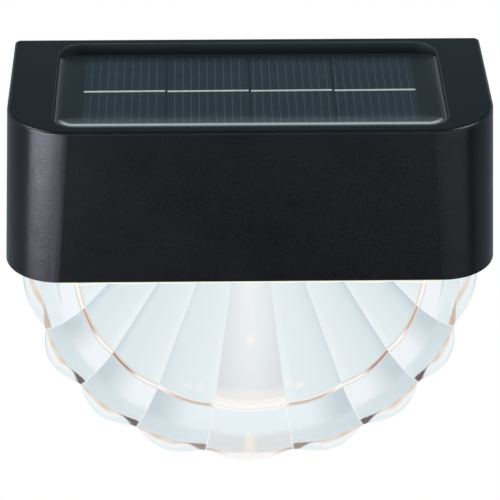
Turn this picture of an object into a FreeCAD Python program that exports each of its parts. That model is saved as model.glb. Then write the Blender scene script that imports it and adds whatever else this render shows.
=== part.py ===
import FreeCAD, Part
import math
import os

from FreeCAD import Vector

# Solar wall light: a black D-plan housing with a solar panel in its top and a clear shell shade below.
# The flat back lies on the wall in the plane Y = 0, the front faces -Y, and Z is up.
# The origin is on the wall, midway between the two keyhole hangers. All sizes are in millimetres.

# Housing
HOUSING_WIDTH = 120.0
HOUSING_DEPTH = 52.0
HOUSING_HEIGHT = 40.0
HOUSING_DRAFT_DEG = 2.5
FRONT_CORNER_R = 13.6
FRONT_CORNER_TOP_R = 15.0
BACK_CORNER_R = 1.5
TOP_EDGE_R = 0.8
WALL = 2.4
LEDGE = 1.8
BACK_WALL = 4.0
HANGER_BELOW_TOP = 20.0

# Keyhole hangers
HANGER_SPACING = 60.0
HANGER_ENTRY_R = 4.2
HANGER_SLOT_R = 2.2
HANGER_DROP = 7.0
HANGER_SKIN = 1.8
HANGER_HEAD_ROOM = 3.6
HANGER_BOSS_WALL = 1.6

# Solar panel, almost level with the housing's top, and its recess with an open slot behind the panel
RECESS_FROM_SIDE = 13.05
RECESS_FROM_FRONT = 4.7
RECESS_FROM_WALL = 2.5
RECESS_FRONT_CORNER_R = 5.2
RECESS_BACK_CORNER_R = 6.4
RECESS_CHAMFER = 0.3
RECESS_FLOOR = 2.0
PANEL_CLEARANCE = 0.2
PANEL_SUNK = 0.1
PANEL_BACK_CORNER_R = 0.8
COVER_THICKNESS = 1.2
COVER_EDGE_R = 0.9
BACKING_THICKNESS = 1.2
SEAL_THICKNESS = 0.8
SEAL_WIDTH = 3.0
CELL_COUNT = 4
CELL_GAP = 0.6
CELLS_FROM_SIDE = 6.6
CELLS_FROM_END = 0.8
CELL_THICKNESS = 0.25
RIBBON_WIDTH = 0.75
RIBBON_THICKNESS = 0.12
RIBBON_TURN_DEG = 0.6

# Base plate, gasket and screws
BASE_RECESS = 5.0
BASE_THICKNESS = 2.5
BASE_CLEARANCE = 0.15
GASKET_THICKNESS = 0.8
BASE_SCREW_INSET = 6.6
BASE_SCREW_FROM_WALL = 9.5
BASE_SCREW_FROM_FRONT = 18.0
BASE_SCREW_R = 1.1
BASE_SCREW_LENGTH = 10.0
BOSS_WALL = 1.9
SCREW_CLEARANCE = 0.3
SCREW_HEAD_R = 2.4
SCREW_HEAD_HEIGHT = 1.6

# Shell shade: flutes fan out from a point near the housing's top, over a ring step, to a scalloped lip.
# A swell is the rise of a flute over its creases, as a share of its width there.
FAN_ABOVE_BOTTOM = 37.0
MIDDLE_FLUTE_DEG = 13.4
SIDE_FLUTE_DEG = 11.35
LAST_FLUTE_DEG = 19.2
FLUTES_EACH_SIDE = 4
FACE_SETBACK = 5.0
FACE_START_SHARE = 0.35
FACE_TOP_SWELL = 0.04
RING_CENTRE_ABOVE_BOTTOM = 3.0
RING_FROM_SIDE = 17.1
RING_EDGE_WIDTH = 0.7
RING_STEP_WIDTH = 1.5
RING_STEP_DEPTH = 0.8
RING_SWELL = 0.075
RING_SWELL_TURN_DEG = 40.0
RIM_CENTRE_BELOW_BOTTOM = 4.65
RIM_FROM_SIDE = 7.1
RIM_SETBACK = 4.8
RIM_TURN_DEG = 80.0
LIP_DEPTH = 1.2
LIP_SWELL = 0.18
BAND_STEPS = 4
LIP_STEPS = 3
INNER_SWELL_SHARE = 0.45
SHADE_WALL = 2.0
FLANGE_FROM_SIDE = 18.0
FLANGE_LENGTH = 6.8
FLANGE_THICKNESS = 3.0
SHADE_SCREW_SPACING = 30.0
SHADE_SCREW_COUNT = 3
SHADE_SCREW_R = 0.9
SHADE_SCREW_LENGTH = 7.0
SHADE_SCREW_HEAD_R = 2.0
SHADE_SCREW_HEAD_HEIGHT = 1.2
SHADE_BOSS_HEIGHT = 3.5

# LED window, board and LEDs
WINDOW_FROM_BOARD_END = 5.5
WINDOW_WIDTH = 8.6
WINDOW_CLEARANCE = 0.1
WINDOW_LIP = 1.2
WINDOW_LIP_THICKNESS = 1.0
LED_FROM_WALL = 13.5
LED_BOARD_FROM_SWITCH = 3.1
LED_BOARD_WIDTH = 10.0
BOARD_THICKNESS = 1.2
LED_BOARD_STANDOFF = 5.3
LED_POST_R = 1.8
LED_POST_INSET = 2.0
LED_COUNT = 3
LED_SPACING = 16.0
LED_BASE = 5.0
LED_BASE_HEIGHT = 1.2
LED_DOME_R = 2.0

# Battery: one AAA cell in an open cradle, midway between the LED window and the shade screws
CELL_R = 5.25
CELL_BODY_LENGTH = 43.3
CELL_NUB_R = 1.9
CELL_NUB_LENGTH = 1.2
CELL_CLEARANCE = 0.15
CRADLE_FLOOR = 1.5
CRADLE_SIDE_WALL = 1.75
CRADLE_END_WALL = 3.0
CONTACT_THICKNESS = 0.6
CONTACT_WIDTH = 4.0
CONTACT_REACH = 1.2
CONTACT_BUMP_R = 2.0
CONTACT_RISE = 4.5
CONTACT_TAB = 3.0

# Controller board with its push switch
CONTROLLER_FROM_SIDE = 18.4
CONTROLLER_WIDTH = 12.0
CONTROLLER_BACK = 9.0
CONTROLLER_LENGTH = 29.5
CONTROLLER_STANDOFF = 7.5
CONTROLLER_POST_R = 1.3
CONTROLLER_POST_INSET = 1.6
CHIP_LENGTH = 5.0
CHIP_WIDTH = 4.4
CHIP_HEIGHT = 1.5
CHIP_FROM_WALL = 21.0
INDUCTOR_R = 3.0
INDUCTOR_HEIGHT = 4.5
INDUCTOR_FROM_WALL = 28.5
CAPACITOR_R = 2.5
CAPACITOR_HEIGHT = 8.0
CAPACITOR_FROM_WALL = 35.0
SWITCH_SIDE = 9.0
SWITCH_HEIGHT = 5.0
SWITCH_BORE_DEPTH = 2.8
SWITCH_BORE_CLEARANCE = 0.2

# Power button
BUTTON_FROM_WALL = 15.0
BUTTON_R = 3.9
BUTTON_CLEARANCE = 0.1
BUTTON_PROUD = 2.0
BUTTON_FLANGE_R = 5.0
BUTTON_FLANGE_HEIGHT = 0.8
BUTTON_STEM_R = 1.5
BUTTON_TRAVEL = 1.2
COLLAR_R = 6.6
COLLAR_HEIGHT = 0.7

# Leads
LEAD_R = 0.6
LEAD_HOLE_R = 1.5
LEAD_BEND_R = 1.6
SOLAR_LEAD_INSET = 1.6
SOLAR_LEADS_FROM_WALL = (14.0, 17.6)
LED_LEAD_INSET = 6.0
LED_LEADS_FROM_WALL = (11.5, 15.5)
LED_LEAD_RISE = 6.0
BATTERY_LEAD_ENDS_FROM_WALL = (25.0, 33.0)
BATTERY_LEAD_RISES = (5.4, 7.4)

# Levels and places worked out from the sizes above
HOUSING_TOP = HANGER_BELOW_TOP
HOUSING_BOTTOM = HOUSING_TOP - HOUSING_HEIGHT
DRAFT_SHIFT = HOUSING_HEIGHT * math.tan(math.radians(HOUSING_DRAFT_DEG))
BASE_BOTTOM = HOUSING_BOTTOM + BASE_RECESS
BASE_TOP = BASE_BOTTOM + BASE_THICKNESS
LEDGE_Z = BASE_TOP + GASKET_THICKNESS
PANEL_TOP = HOUSING_TOP - PANEL_SUNK
BACKING_TOP = PANEL_TOP - COVER_THICKNESS
SEAL_TOP = BACKING_TOP - BACKING_THICKNESS
POCKET_FLOOR = SEAL_TOP - SEAL_THICKNESS
CAVITY_TOP = POCKET_FLOOR - RECESS_FLOOR
RECESS_HALF = HOUSING_WIDTH / 2 - RECESS_FROM_SIDE
RECESS_BACK = -RECESS_FROM_WALL
RECESS_FRONT = -(HOUSING_DEPTH - RECESS_FROM_FRONT)
PANEL_HALF = RECESS_HALF - PANEL_CLEARANCE
PANEL_BACK = RECESS_BACK - RECESS_BACK_CORNER_R - PANEL_CLEARANCE
PANEL_FRONT = RECESS_FRONT + PANEL_CLEARANCE
PANEL_FRONT_CORNER_R = RECESS_FRONT_CORNER_R - PANEL_CLEARANCE
CELLS_BACK = PANEL_BACK - CELLS_FROM_END
CELLS_FRONT = PANEL_FRONT + CELLS_FROM_END
CELL_WIDTH = (2 * (PANEL_HALF - CELLS_FROM_SIDE) - (CELL_COUNT - 1) * CELL_GAP) / CELL_COUNT
CAVITY_HALF = HOUSING_WIDTH / 2 - WALL
CAVITY_FRONT = -(HOUSING_DEPTH - WALL)
CAVITY_CORNER_R = FRONT_CORNER_R - WALL
BASE_SCREW_X = HOUSING_WIDTH / 2 - WALL - BASE_SCREW_INSET
BOSS_R = BASE_SCREW_R + BOSS_WALL
SCREW_BACKS = (BASE_SCREW_FROM_WALL, HOUSING_DEPTH - BASE_SCREW_FROM_FRONT)
SCREW_PLACES = [(side * BASE_SCREW_X, -back) for side in (-1, 1) for back in SCREW_BACKS]
FAN_Z = HOUSING_BOTTOM + FAN_ABOVE_BOTTOM
RING_Z = HOUSING_BOTTOM + RING_CENTRE_ABOVE_BOTTOM
RING_R = HOUSING_WIDTH / 2 - RING_FROM_SIDE
RIM_Z = HOUSING_BOTTOM - RIM_CENTRE_BELOW_BOTTOM
RIM_R = HOUSING_WIDTH / 2 - RIM_FROM_SIDE
FACE_Y = -(HOUSING_DEPTH - FACE_SETBACK)
FLANGE_FRONT = FACE_Y + SHADE_WALL / 2
FLANGE_BACK = FLANGE_FRONT + FLANGE_LENGTH
FLANGE_HALF = HOUSING_WIDTH / 2 - FLANGE_FROM_SIDE
SHADE_SCREW_Y = FLANGE_BACK - SHADE_SCREW_HEAD_R - SCREW_CLEARANCE - 1.0
SHADE_BOSS_R = SHADE_SCREW_R + BOSS_WALL
CONTROLLER_X = HOUSING_WIDTH / 2 - CONTROLLER_FROM_SIDE
SOLAR_LEAD_X = CONTROLLER_X - SOLAR_LEAD_INSET
LED_BOARD_HALF = CONTROLLER_X - SWITCH_SIDE / 2 - LED_BOARD_FROM_SWITCH
LED_LEAD_X = LED_BOARD_HALF - LED_LEAD_INSET
WINDOW_HALF = LED_BOARD_HALF - WINDOW_FROM_BOARD_END
LED_BOARD_Z = BASE_TOP + LED_BOARD_STANDOFF
CONTROLLER_Z = BASE_TOP + CONTROLLER_STANDOFF
CONTROLLER_TOP = CONTROLLER_Z + BOARD_THICKNESS
WINDOW_FRONT = -(LED_FROM_WALL + WINDOW_WIDTH / 2 + WINDOW_LIP)
CRADLE_Y = (WINDOW_FRONT + SHADE_SCREW_Y + SHADE_BOSS_R) / 2
CRADLE_Z = BASE_TOP + CRADLE_FLOOR + CELL_R
CRADLE_HALF_INSIDE = (CELL_BODY_LENGTH + CELL_NUB_LENGTH) / 2 + CONTACT_THICKNESS + CONTACT_REACH
CRADLE_HALF_LENGTH = CRADLE_HALF_INSIDE + CRADLE_END_WALL
CONTACT_TOP = CRADLE_Z + CONTACT_RISE


def box(x_low, x_high, y_low, y_high, z_low, z_high):
    """Box between two corners."""
    return Part.makeBox(x_high - x_low, y_high - y_low, z_high - z_low, Vector(x_low, y_low, z_low))


def rod(radius, height, x, y, z):
    """Upright cylinder that stands on the point (x, y, z)."""
    return Part.makeCylinder(radius, height, Vector(x, y, z))


def d_wire(half_width, back, front, front_corner, back_corner, z):
    """Closed D-plan outline at height z: a straight back with small corners and a round-cornered front."""
    outline = []

    def corner(x, y, radius, start_deg):
        turns = [math.radians(start_deg + step) for step in (0, 45, 90)]
        points = [Vector(x + radius * math.cos(turn), y + radius * math.sin(turn), z) for turn in turns]
        outline.append(Part.Arc(*points).toShape())

    corner(half_width - back_corner, back - back_corner, back_corner, 0)
    corner(-(half_width - back_corner), back - back_corner, back_corner, 90)
    corner(-(half_width - front_corner), front + front_corner, front_corner, 180)
    corner(half_width - front_corner, front + front_corner, front_corner, 270)
    edges = []
    for arc, following in zip(outline, outline[1:] + outline[:1]):
        edges.append(arc)
        edges.append(Part.makeLine(arc.Vertexes[-1].Point, following.Vertexes[0].Point))
    return Part.Wire(edges)


def d_block(half_width, back, front, front_corner, back_corner, z_low, z_high):
    """Upright block with a D-plan outline."""
    face = Part.Face(d_wire(half_width, back, front, front_corner, back_corner, z_low))
    return face.extrude(Vector(0, 0, z_high - z_low))


def keyhole_slot(radius, x, y_front, y_back):
    """Level prism along Y with a stadium outline that runs up from an entry circle."""
    depth = y_back - y_front
    along = Vector(0, 1, 0)
    slot = Part.makeCylinder(radius, depth, Vector(x, y_front, 0), along)
    slot = slot.fuse(Part.makeCylinder(radius, depth, Vector(x, y_front, HANGER_DROP), along))
    return slot.fuse(box(x - radius, x + radius, y_front, y_back, 0, HANGER_DROP)).removeSplitter()


def hanger_places():
    """X of each keyhole hanger."""
    return [-HANGER_SPACING / 2, HANGER_SPACING / 2]


def make_housing():
    """Drafted shell, open below, with the panel recess, screw bosses and keyhole hangers."""
    half = HOUSING_WIDTH / 2
    behind = WALL + BACK_CORNER_R
    low = d_wire(half, behind, -HOUSING_DEPTH, FRONT_CORNER_R, BACK_CORNER_R, HOUSING_BOTTOM)
    top_half = half - DRAFT_SHIFT
    top_front = DRAFT_SHIFT - HOUSING_DEPTH
    high = d_wire(top_half, behind, top_front, FRONT_CORNER_TOP_R, BACK_CORNER_R, HOUSING_TOP)
    shell = Part.makeLoft([low, high], True, True)
    shell = shell.cut(box(-half, half, 0, behind, HOUSING_BOTTOM, HOUSING_TOP))
    back_edges = []
    for edge in shell.Edges:
        bounds = edge.BoundBox
        if bounds.YMin > -0.01 and bounds.ZLength > HOUSING_HEIGHT / 2:
            back_edges.append(edge)
    shell = shell.makeFillet(BACK_CORNER_R, back_edges)
    top_edges = []
    for edge in shell.Edges:
        bounds = edge.BoundBox
        on_wall = bounds.YMin > -0.01
        if bounds.ZMin > HOUSING_TOP - 0.01 and not on_wall:
            top_edges.append(edge)
    shell = shell.makeFillet(TOP_EDGE_R, top_edges)

    mouth = (CAVITY_HALF, -WALL, CAVITY_FRONT, CAVITY_CORNER_R, BACK_CORNER_R)
    room = (CAVITY_HALF - LEDGE, -BACK_WALL, CAVITY_FRONT + LEDGE, CAVITY_CORNER_R - LEDGE, BACK_CORNER_R)
    recess = (RECESS_HALF, RECESS_BACK, RECESS_FRONT, RECESS_FRONT_CORNER_R, RECESS_BACK_CORNER_R)
    shell = shell.cut(d_block(*mouth, HOUSING_BOTTOM, LEDGE_Z))
    shell = shell.cut(d_block(*room, LEDGE_Z, CAVITY_TOP))
    shell = shell.cut(d_block(*recess, POCKET_FLOOR, HOUSING_TOP))

    rim_edges = []
    for edge in shell.Edges:
        bounds = edge.BoundBox
        on_top = bounds.ZMin > HOUSING_TOP - 0.01
        inside = bounds.XMax < RECESS_HALF + 0.01 and bounds.XMin > -RECESS_HALF - 0.01
        clear_of_front = bounds.YMin > RECESS_FRONT - 0.01
        clear_of_back = bounds.YMax < RECESS_BACK + 0.01
        if on_top and inside and clear_of_front and clear_of_back:
            rim_edges.append(edge)
    shell = shell.makeChamfer(RECESS_CHAMFER, rim_edges)

    for x, y in SCREW_PLACES:
        shell = shell.fuse(rod(BOSS_R, CAVITY_TOP + 0.5 - BASE_TOP, x, y, BASE_TOP))
    for x in hanger_places():
        pocket_back = -(HANGER_SKIN + HANGER_HEAD_ROOM)
        boss_r = HANGER_ENTRY_R + HANGER_BOSS_WALL
        shell = shell.fuse(keyhole_slot(boss_r, x, pocket_back - HANGER_BOSS_WALL, -BACK_WALL + 0.5))
        shell = shell.cut(keyhole_slot(HANGER_ENTRY_R, x, pocket_back, -HANGER_SKIN))
        shell = shell.cut(keyhole_slot(HANGER_SLOT_R, x, -HANGER_SKIN, 0))
        entry = Part.makeCylinder(HANGER_ENTRY_R, HANGER_SKIN, Vector(x, -HANGER_SKIN, 0), Vector(0, 1, 0))
        shell = shell.cut(entry)
    for x, y in SCREW_PLACES:
        shell = shell.cut(rod(BASE_SCREW_R, BASE_SCREW_LENGTH, x, y, BASE_TOP))
    for back in SOLAR_LEADS_FROM_WALL:
        shell = shell.cut(rod(LEAD_HOLE_R, RECESS_FLOOR, SOLAR_LEAD_X, -back, CAVITY_TOP))
    return shell.removeSplitter()


def panel_layer(z_low, z_high):
    """One full layer of the panel stack, clear of the recess walls and of the slot behind it."""
    outline = (PANEL_HALF, PANEL_BACK, PANEL_FRONT, PANEL_FRONT_CORNER_R, PANEL_BACK_CORNER_R)
    return d_block(*outline, z_low, z_high)


def make_panel_seal():
    """Foam frame under the panel."""
    sides = (PANEL_HALF - SEAL_WIDTH, PANEL_BACK - SEAL_WIDTH, PANEL_FRONT + SEAL_WIDTH)
    window = d_block(*sides, PANEL_BACK_CORNER_R, PANEL_BACK_CORNER_R, POCKET_FLOOR, SEAL_TOP)
    return panel_layer(POCKET_FLOOR, SEAL_TOP).cut(window)


def cell_centres():
    """X of each solar cell's middle."""
    pitch = CELL_WIDTH + CELL_GAP
    return [(number - (CELL_COUNT - 1) / 2) * pitch for number in range(CELL_COUNT)]


def make_cells():
    """Solar cells side by side on the backing board."""
    cells = []
    for x in cell_centres():
        sides = (x - CELL_WIDTH / 2, x + CELL_WIDTH / 2)
        cells.append(box(*sides, CELLS_FRONT, CELLS_BACK, BACKING_TOP, BACKING_TOP + CELL_THICKNESS))
    return Part.Compound(cells)


def make_ribbons():
    """Bright ribbon across each cell, laid by hand and so turned a little."""
    ribbons = []
    for x in cell_centres():
        z_low = BACKING_TOP + CELL_THICKNESS
        half_length = CELL_WIDTH / 2
        ribbon = box(-half_length, half_length, -RIBBON_WIDTH / 2, RIBBON_WIDTH / 2, 0, RIBBON_THICKNESS)
        ribbon.rotate(Vector(0, 0, 0), Vector(0, 0, 1), RIBBON_TURN_DEG)
        ribbon.translate(Vector(x, (CELLS_FRONT + CELLS_BACK) / 2, z_low))
        ribbons.append(ribbon)
    return Part.Compound(ribbons)


def make_solar_cover(cells, ribbons):
    """Clear layer cast over the cells and ribbons, rounded along its upper edge."""
    layer = panel_layer(BACKING_TOP, PANEL_TOP)
    upper_edge = [edge for edge in layer.Edges if edge.BoundBox.ZMin > PANEL_TOP - 0.01]
    return layer.makeFillet(COVER_EDGE_R, upper_edge).cut(cells).cut(ribbons)


def base_outline(z_low, z_high):
    """Block that fills the housing's lower mouth with the base plate's clearance."""
    half = CAVITY_HALF - BASE_CLEARANCE
    back = -WALL - BASE_CLEARANCE
    front = CAVITY_FRONT + BASE_CLEARANCE
    return d_block(half, back, front, CAVITY_CORNER_R - BASE_CLEARANCE, BACK_CORNER_R, z_low, z_high)


def make_gasket():
    """Rubber ring pressed between the base plate and the housing's ledge."""
    half = CAVITY_HALF - LEDGE
    front = CAVITY_FRONT + LEDGE
    corner = CAVITY_CORNER_R - LEDGE
    hole = d_block(half, -BACK_WALL, front, corner, BACK_CORNER_R, BASE_TOP, LEDGE_Z)
    return base_outline(BASE_TOP, LEDGE_Z).cut(hole)


def shade_screw_places():
    """X of each shade screw."""
    middle = (SHADE_SCREW_COUNT - 1) / 2
    return [(number - middle) * SHADE_SCREW_SPACING for number in range(SHADE_SCREW_COUNT)]


def led_post_places():
    """X of the posts that carry the LED board."""
    reach = LED_BOARD_HALF - LED_POST_INSET
    return [-reach, reach]


def controller_post_places():
    """Places of the posts that carry the controller board."""
    reach = CONTROLLER_WIDTH / 2 - CONTROLLER_POST_INSET
    front = CONTROLLER_BACK + CONTROLLER_LENGTH - CONTROLLER_POST_INSET
    middle = BUTTON_FROM_WALL + SWITCH_SIDE / 2 + CONTROLLER_POST_R + 1.5
    places = [(CONTROLLER_X - reach, -middle), (CONTROLLER_X + reach, -middle)]
    return places + [(CONTROLLER_X, -front)]


def make_base_plate():
    """Plate that closes the housing, with its posts, bosses, window opening and button hole."""
    plate = base_outline(BASE_BOTTOM, BASE_TOP)
    for x in shade_screw_places():
        plate = plate.fuse(rod(SHADE_BOSS_R, SHADE_BOSS_HEIGHT, x, SHADE_SCREW_Y, BASE_TOP))
    for x in led_post_places():
        plate = plate.fuse(rod(LED_POST_R, LED_BOARD_STANDOFF, x, -LED_FROM_WALL, BASE_TOP))
    for x, y in controller_post_places():
        plate = plate.fuse(rod(CONTROLLER_POST_R, CONTROLLER_STANDOFF, x, y, BASE_TOP))
    half_length = WINDOW_HALF + WINDOW_CLEARANCE
    half_width = WINDOW_WIDTH / 2 + WINDOW_CLEARANCE
    low_y = -LED_FROM_WALL - half_width
    high_y = -LED_FROM_WALL + half_width
    plate = plate.cut(box(-half_length, half_length, low_y, high_y, BASE_BOTTOM, BASE_TOP))
    for x, y in SCREW_PLACES:
        plate = plate.cut(rod(BASE_SCREW_R + SCREW_CLEARANCE, BASE_THICKNESS, x, y, BASE_BOTTOM))
    for x in shade_screw_places():
        pilot_low = BASE_BOTTOM - FLANGE_THICKNESS
        plate = plate.cut(rod(SHADE_SCREW_R, SHADE_SCREW_LENGTH, x, SHADE_SCREW_Y, pilot_low))
    hole_r = BUTTON_R + BUTTON_CLEARANCE
    button_hole = rod(hole_r, BASE_THICKNESS, CONTROLLER_X, -BUTTON_FROM_WALL, BASE_BOTTOM)
    return plate.cut(button_hole).removeSplitter()


def make_screw(radius, length, head_r, head_height, x, y, head_top):
    """Pan-head screw driven upwards, with a crossed drive in its head."""
    head = rod(head_r, head_height, x, y, head_top - head_height)
    rim = [edge for edge in head.Edges if edge.BoundBox.ZMax < head_top - head_height + 0.01]
    head = head.makeFillet(head_height * 0.45, [edge for edge in rim if edge.isClosed()])
    drive_depth = head_height * 0.5
    drive_width = head_r * 0.2
    for long_x, long_y in ((head_r * 0.6, drive_width), (drive_width, head_r * 0.6)):
        low = head_top - head_height
        head = head.cut(box(x - long_x, x + long_x, y - long_y, y + long_y, low, low + drive_depth))
    return head.fuse(rod(radius, length, x, y, head_top)).removeSplitter()


def make_base_screws():
    """Screws that hold the base plate to the housing's bosses."""
    length = BASE_THICKNESS + BASE_SCREW_LENGTH - 1.0
    screws = []
    for x, y in SCREW_PLACES:
        screws.append(make_screw(BASE_SCREW_R, length, SCREW_HEAD_R, SCREW_HEAD_HEIGHT, x, y, BASE_BOTTOM))
    return Part.Compound(screws)


def make_shade_screws():
    """Screws that hold the shade's flange to the base plate."""
    head_top = BASE_BOTTOM - FLANGE_THICKNESS
    length = SHADE_SCREW_LENGTH - 0.5
    screws = []
    for x in shade_screw_places():
        head = (SHADE_SCREW_HEAD_R, SHADE_SCREW_HEAD_HEIGHT)
        screws.append(make_screw(SHADE_SCREW_R, length, *head, x, SHADE_SCREW_Y, head_top))
    return Part.Compound(screws)


def crease_angles():
    """Fan angles of the creases between flutes, from left to right, in radians. The last flutes are wider."""
    right = [MIDDLE_FLUTE_DEG / 2 + number * SIDE_FLUTE_DEG for number in range(FLUTES_EACH_SIDE)]
    right.append(right[-1] + LAST_FLUTE_DEG)
    return [math.radians(angle) for angle in [-angle for angle in reversed(right)] + right]


def reach(angle, centre_z, radius):
    """Distance from the fan point along a ray to a circle in the shade's front view."""
    gap = FAN_Z - centre_z
    return gap * math.cos(angle) + math.sqrt(radius ** 2 - (gap * math.sin(angle)) ** 2)


class Station:
    """One line across all flutes: how far out and back it lies, and how much and which way flutes swell."""

    def __init__(self, setback, inner_setback, swell, swell_turn_deg):
        self.face_share = 1.0
        self.ring_shift = RING_STEP_WIDTH
        self.band_share = 0.0
        self.setback = setback
        self.inner_setback = inner_setback
        self.swell = swell
        self.swell_turn = math.radians(swell_turn_deg)

    def crease(self, angle, setback):
        """Point on the crease's front-view place, this far behind the face."""
        ring = reach(angle, RING_Z, RING_R)
        band = reach(angle, RIM_Z, RIM_R) - ring - RING_STEP_WIDTH
        out = ring * self.face_share + self.ring_shift + band * self.band_share
        return Vector(out * math.sin(angle), FACE_Y + setback, FAN_Z - out * math.cos(angle))

    def outer_crease(self, angle):
        """Outer point of the crease at this station."""
        return self.crease(angle, self.setback)

    def inner_crease(self, angle):
        """Inner point of the crease, one wall thickness in. The ring step is on the outside only."""
        point = self.crease(angle, self.inner_setback)
        turn = math.radians(RIM_TURN_DEG * self.band_share)
        outwards = Vector(point.x, 0, point.z - RIM_Z).normalize()
        return point - (outwards * math.sin(turn) - Vector(0, math.cos(turn), 0)) * SHADE_WALL

    def arcs(self, left, right):
        """Outer and inner arc of the flute between two creases."""
        outer_left, outer_right = self.outer_crease(left), self.outer_crease(right)
        inner_left, inner_right = self.inner_crease(left), self.inner_crease(right)
        chord = outer_right - outer_left
        outwards = Vector(chord.z, 0, -chord.x).normalize()
        direction = outwards * math.sin(self.swell_turn) - Vector(0, math.cos(self.swell_turn), 0)
        rise = direction * (chord.Length * self.swell)
        outer_top = (outer_left + outer_right) * 0.5 + rise
        inner_top = (inner_left + inner_right) * 0.5 + rise * INNER_SWELL_SHARE
        outer = Part.Arc(outer_left, outer_top, outer_right).toShape()
        return outer, Part.Arc(inner_left, inner_top, inner_right).toShape()


def shade_stations():
    """Stations from the fan's inside to the rim: the flat face, the ring step, the band and the lip."""
    top = Station(0, 0, FACE_TOP_SWELL, 0)
    top.face_share = FACE_START_SHARE
    top.ring_shift = 0.0
    edge = Station(0, 0, RING_SWELL, RING_SWELL_TURN_DEG)
    edge.ring_shift = -RING_EDGE_WIDTH
    stations = [top, edge]
    for number in range(BAND_STEPS + 1):
        share = number / BAND_STEPS
        setback = RING_STEP_DEPTH + (RIM_SETBACK - RING_STEP_DEPTH) * share ** 2
        turn_deg = RING_SWELL_TURN_DEG + (RIM_TURN_DEG - RING_SWELL_TURN_DEG) * share
        station = Station(setback, RIM_SETBACK * share ** 2, RING_SWELL, turn_deg)
        station.band_share = share
        stations.append(station)
    for number in range(1, LIP_STEPS + 1):
        turn = math.pi / 2 * number / LIP_STEPS
        setback = RIM_SETBACK + LIP_DEPTH * (1 - math.cos(turn))
        swell = RING_SWELL + (LIP_SWELL - RING_SWELL) * math.sin(turn)
        station = Station(setback, setback, swell, RIM_TURN_DEG)
        station.band_share = 1.0
        stations.append(station)
    return stations


def make_fluted_shell():
    """Closed fluted shell, built from strips between stations and sewn into one solid."""
    angles = crease_angles()
    stations = shade_stations()
    faces = []
    for left, right in zip(angles, angles[1:]):
        pairs = [station.arcs(left, right) for station in stations]
        for (outer, inner), (next_outer, next_inner) in zip(pairs, pairs[1:]):
            faces.append(Part.makeRuledSurface(outer, next_outer))
            faces.append(Part.makeRuledSurface(inner, next_inner))
        for outer, inner in (pairs[0], pairs[-1]):
            faces.append(Part.makeRuledSurface(outer, inner))
    for angle in (angles[0], angles[-1]):
        for station, following in zip(stations, stations[1:]):
            outer = Part.makeLine(station.outer_crease(angle), following.outer_crease(angle))
            inner = Part.makeLine(station.inner_crease(angle), following.inner_crease(angle))
            faces.append(Part.makeRuledSurface(outer, inner))
    shell = Part.makeShell(faces)
    shell.sewShape()
    solid = Part.Solid(shell.Shells[0])
    if solid.Volume < 0:
        solid.reverse()
    return solid


def make_shade():
    """Clear shell shade, trimmed level under the base plate, with its screw flange."""
    tall = 2 * FAN_ABOVE_BOTTOM + BASE_RECESS
    wide = HOUSING_WIDTH
    above = box(-wide, wide, -2 * HOUSING_DEPTH, HOUSING_DEPTH, BASE_BOTTOM, BASE_BOTTOM + tall)
    shell = make_fluted_shell().cut(above)
    low = BASE_BOTTOM - FLANGE_THICKNESS
    flange = box(-FLANGE_HALF, FLANGE_HALF, FLANGE_FRONT, FLANGE_BACK, low, BASE_BOTTOM)
    back_corners = []
    for edge in flange.Edges:
        bounds = edge.BoundBox
        if bounds.ZLength > FLANGE_THICKNESS / 2 and bounds.YMin > FLANGE_BACK - 0.01:
            back_corners.append(edge)
    flange = flange.makeFillet(FLANGE_LENGTH / 3, back_corners)
    shade = shell.fuse(flange)
    for x in shade_screw_places():
        shade = shade.cut(rod(SHADE_SCREW_R + SCREW_CLEARANCE, FLANGE_THICKNESS, x, SHADE_SCREW_Y, low))
    return shade.removeSplitter()


def make_led_window():
    """Clear window that drops into the base plate and rests on its lip."""
    half_width = WINDOW_WIDTH / 2
    mid_y = -LED_FROM_WALL
    block = box(-WINDOW_HALF, WINDOW_HALF, mid_y - half_width, mid_y + half_width, BASE_BOTTOM, BASE_TOP)
    lip_x = WINDOW_HALF + WINDOW_LIP
    lip_y = half_width + WINDOW_LIP
    lip_top = BASE_TOP + WINDOW_LIP_THICKNESS
    return block.fuse(box(-lip_x, lip_x, mid_y - lip_y, mid_y + lip_y, BASE_TOP, lip_top)).removeSplitter()


def make_led_board():
    """Circuit board that carries the LEDs above the window."""
    low_y = -LED_FROM_WALL - LED_BOARD_WIDTH / 2
    high_y = -LED_FROM_WALL + LED_BOARD_WIDTH / 2
    return box(-LED_BOARD_HALF, LED_BOARD_HALF, low_y, high_y, LED_BOARD_Z, LED_BOARD_Z + BOARD_THICKNESS)


def make_leds():
    """Warm LEDs that hang under the board and shine down."""
    leds = []
    for number in range(LED_COUNT):
        x = (number - (LED_COUNT - 1) / 2) * LED_SPACING
        half = LED_BASE / 2
        low = LED_BOARD_Z - LED_BASE_HEIGHT
        base = box(x - half, x + half, -LED_FROM_WALL - half, -LED_FROM_WALL + half, low, LED_BOARD_Z)
        dome = Part.makeSphere(LED_DOME_R, Vector(x, -LED_FROM_WALL, low), Vector(0, 0, 1), -90, 0, 360)
        leds.append(base.fuse(dome).removeSplitter())
    return Part.Compound(leds)


def make_cradle():
    """Open cradle whose trough is a little wider than the cell, which rests on its lowest line."""
    half_width = CELL_R + CRADLE_SIDE_WALL
    low_y = CRADLE_Y - half_width
    high_y = CRADLE_Y + half_width
    block = box(-CRADLE_HALF_LENGTH, CRADLE_HALF_LENGTH, low_y, high_y, BASE_TOP, CRADLE_Z)
    along = Vector(1, 0, 0)
    start = Vector(-CRADLE_HALF_INSIDE, CRADLE_Y, CRADLE_Z + CELL_CLEARANCE)
    return block.cut(Part.makeCylinder(CELL_R + CELL_CLEARANCE, 2 * CRADLE_HALF_INSIDE, start, along))


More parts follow.
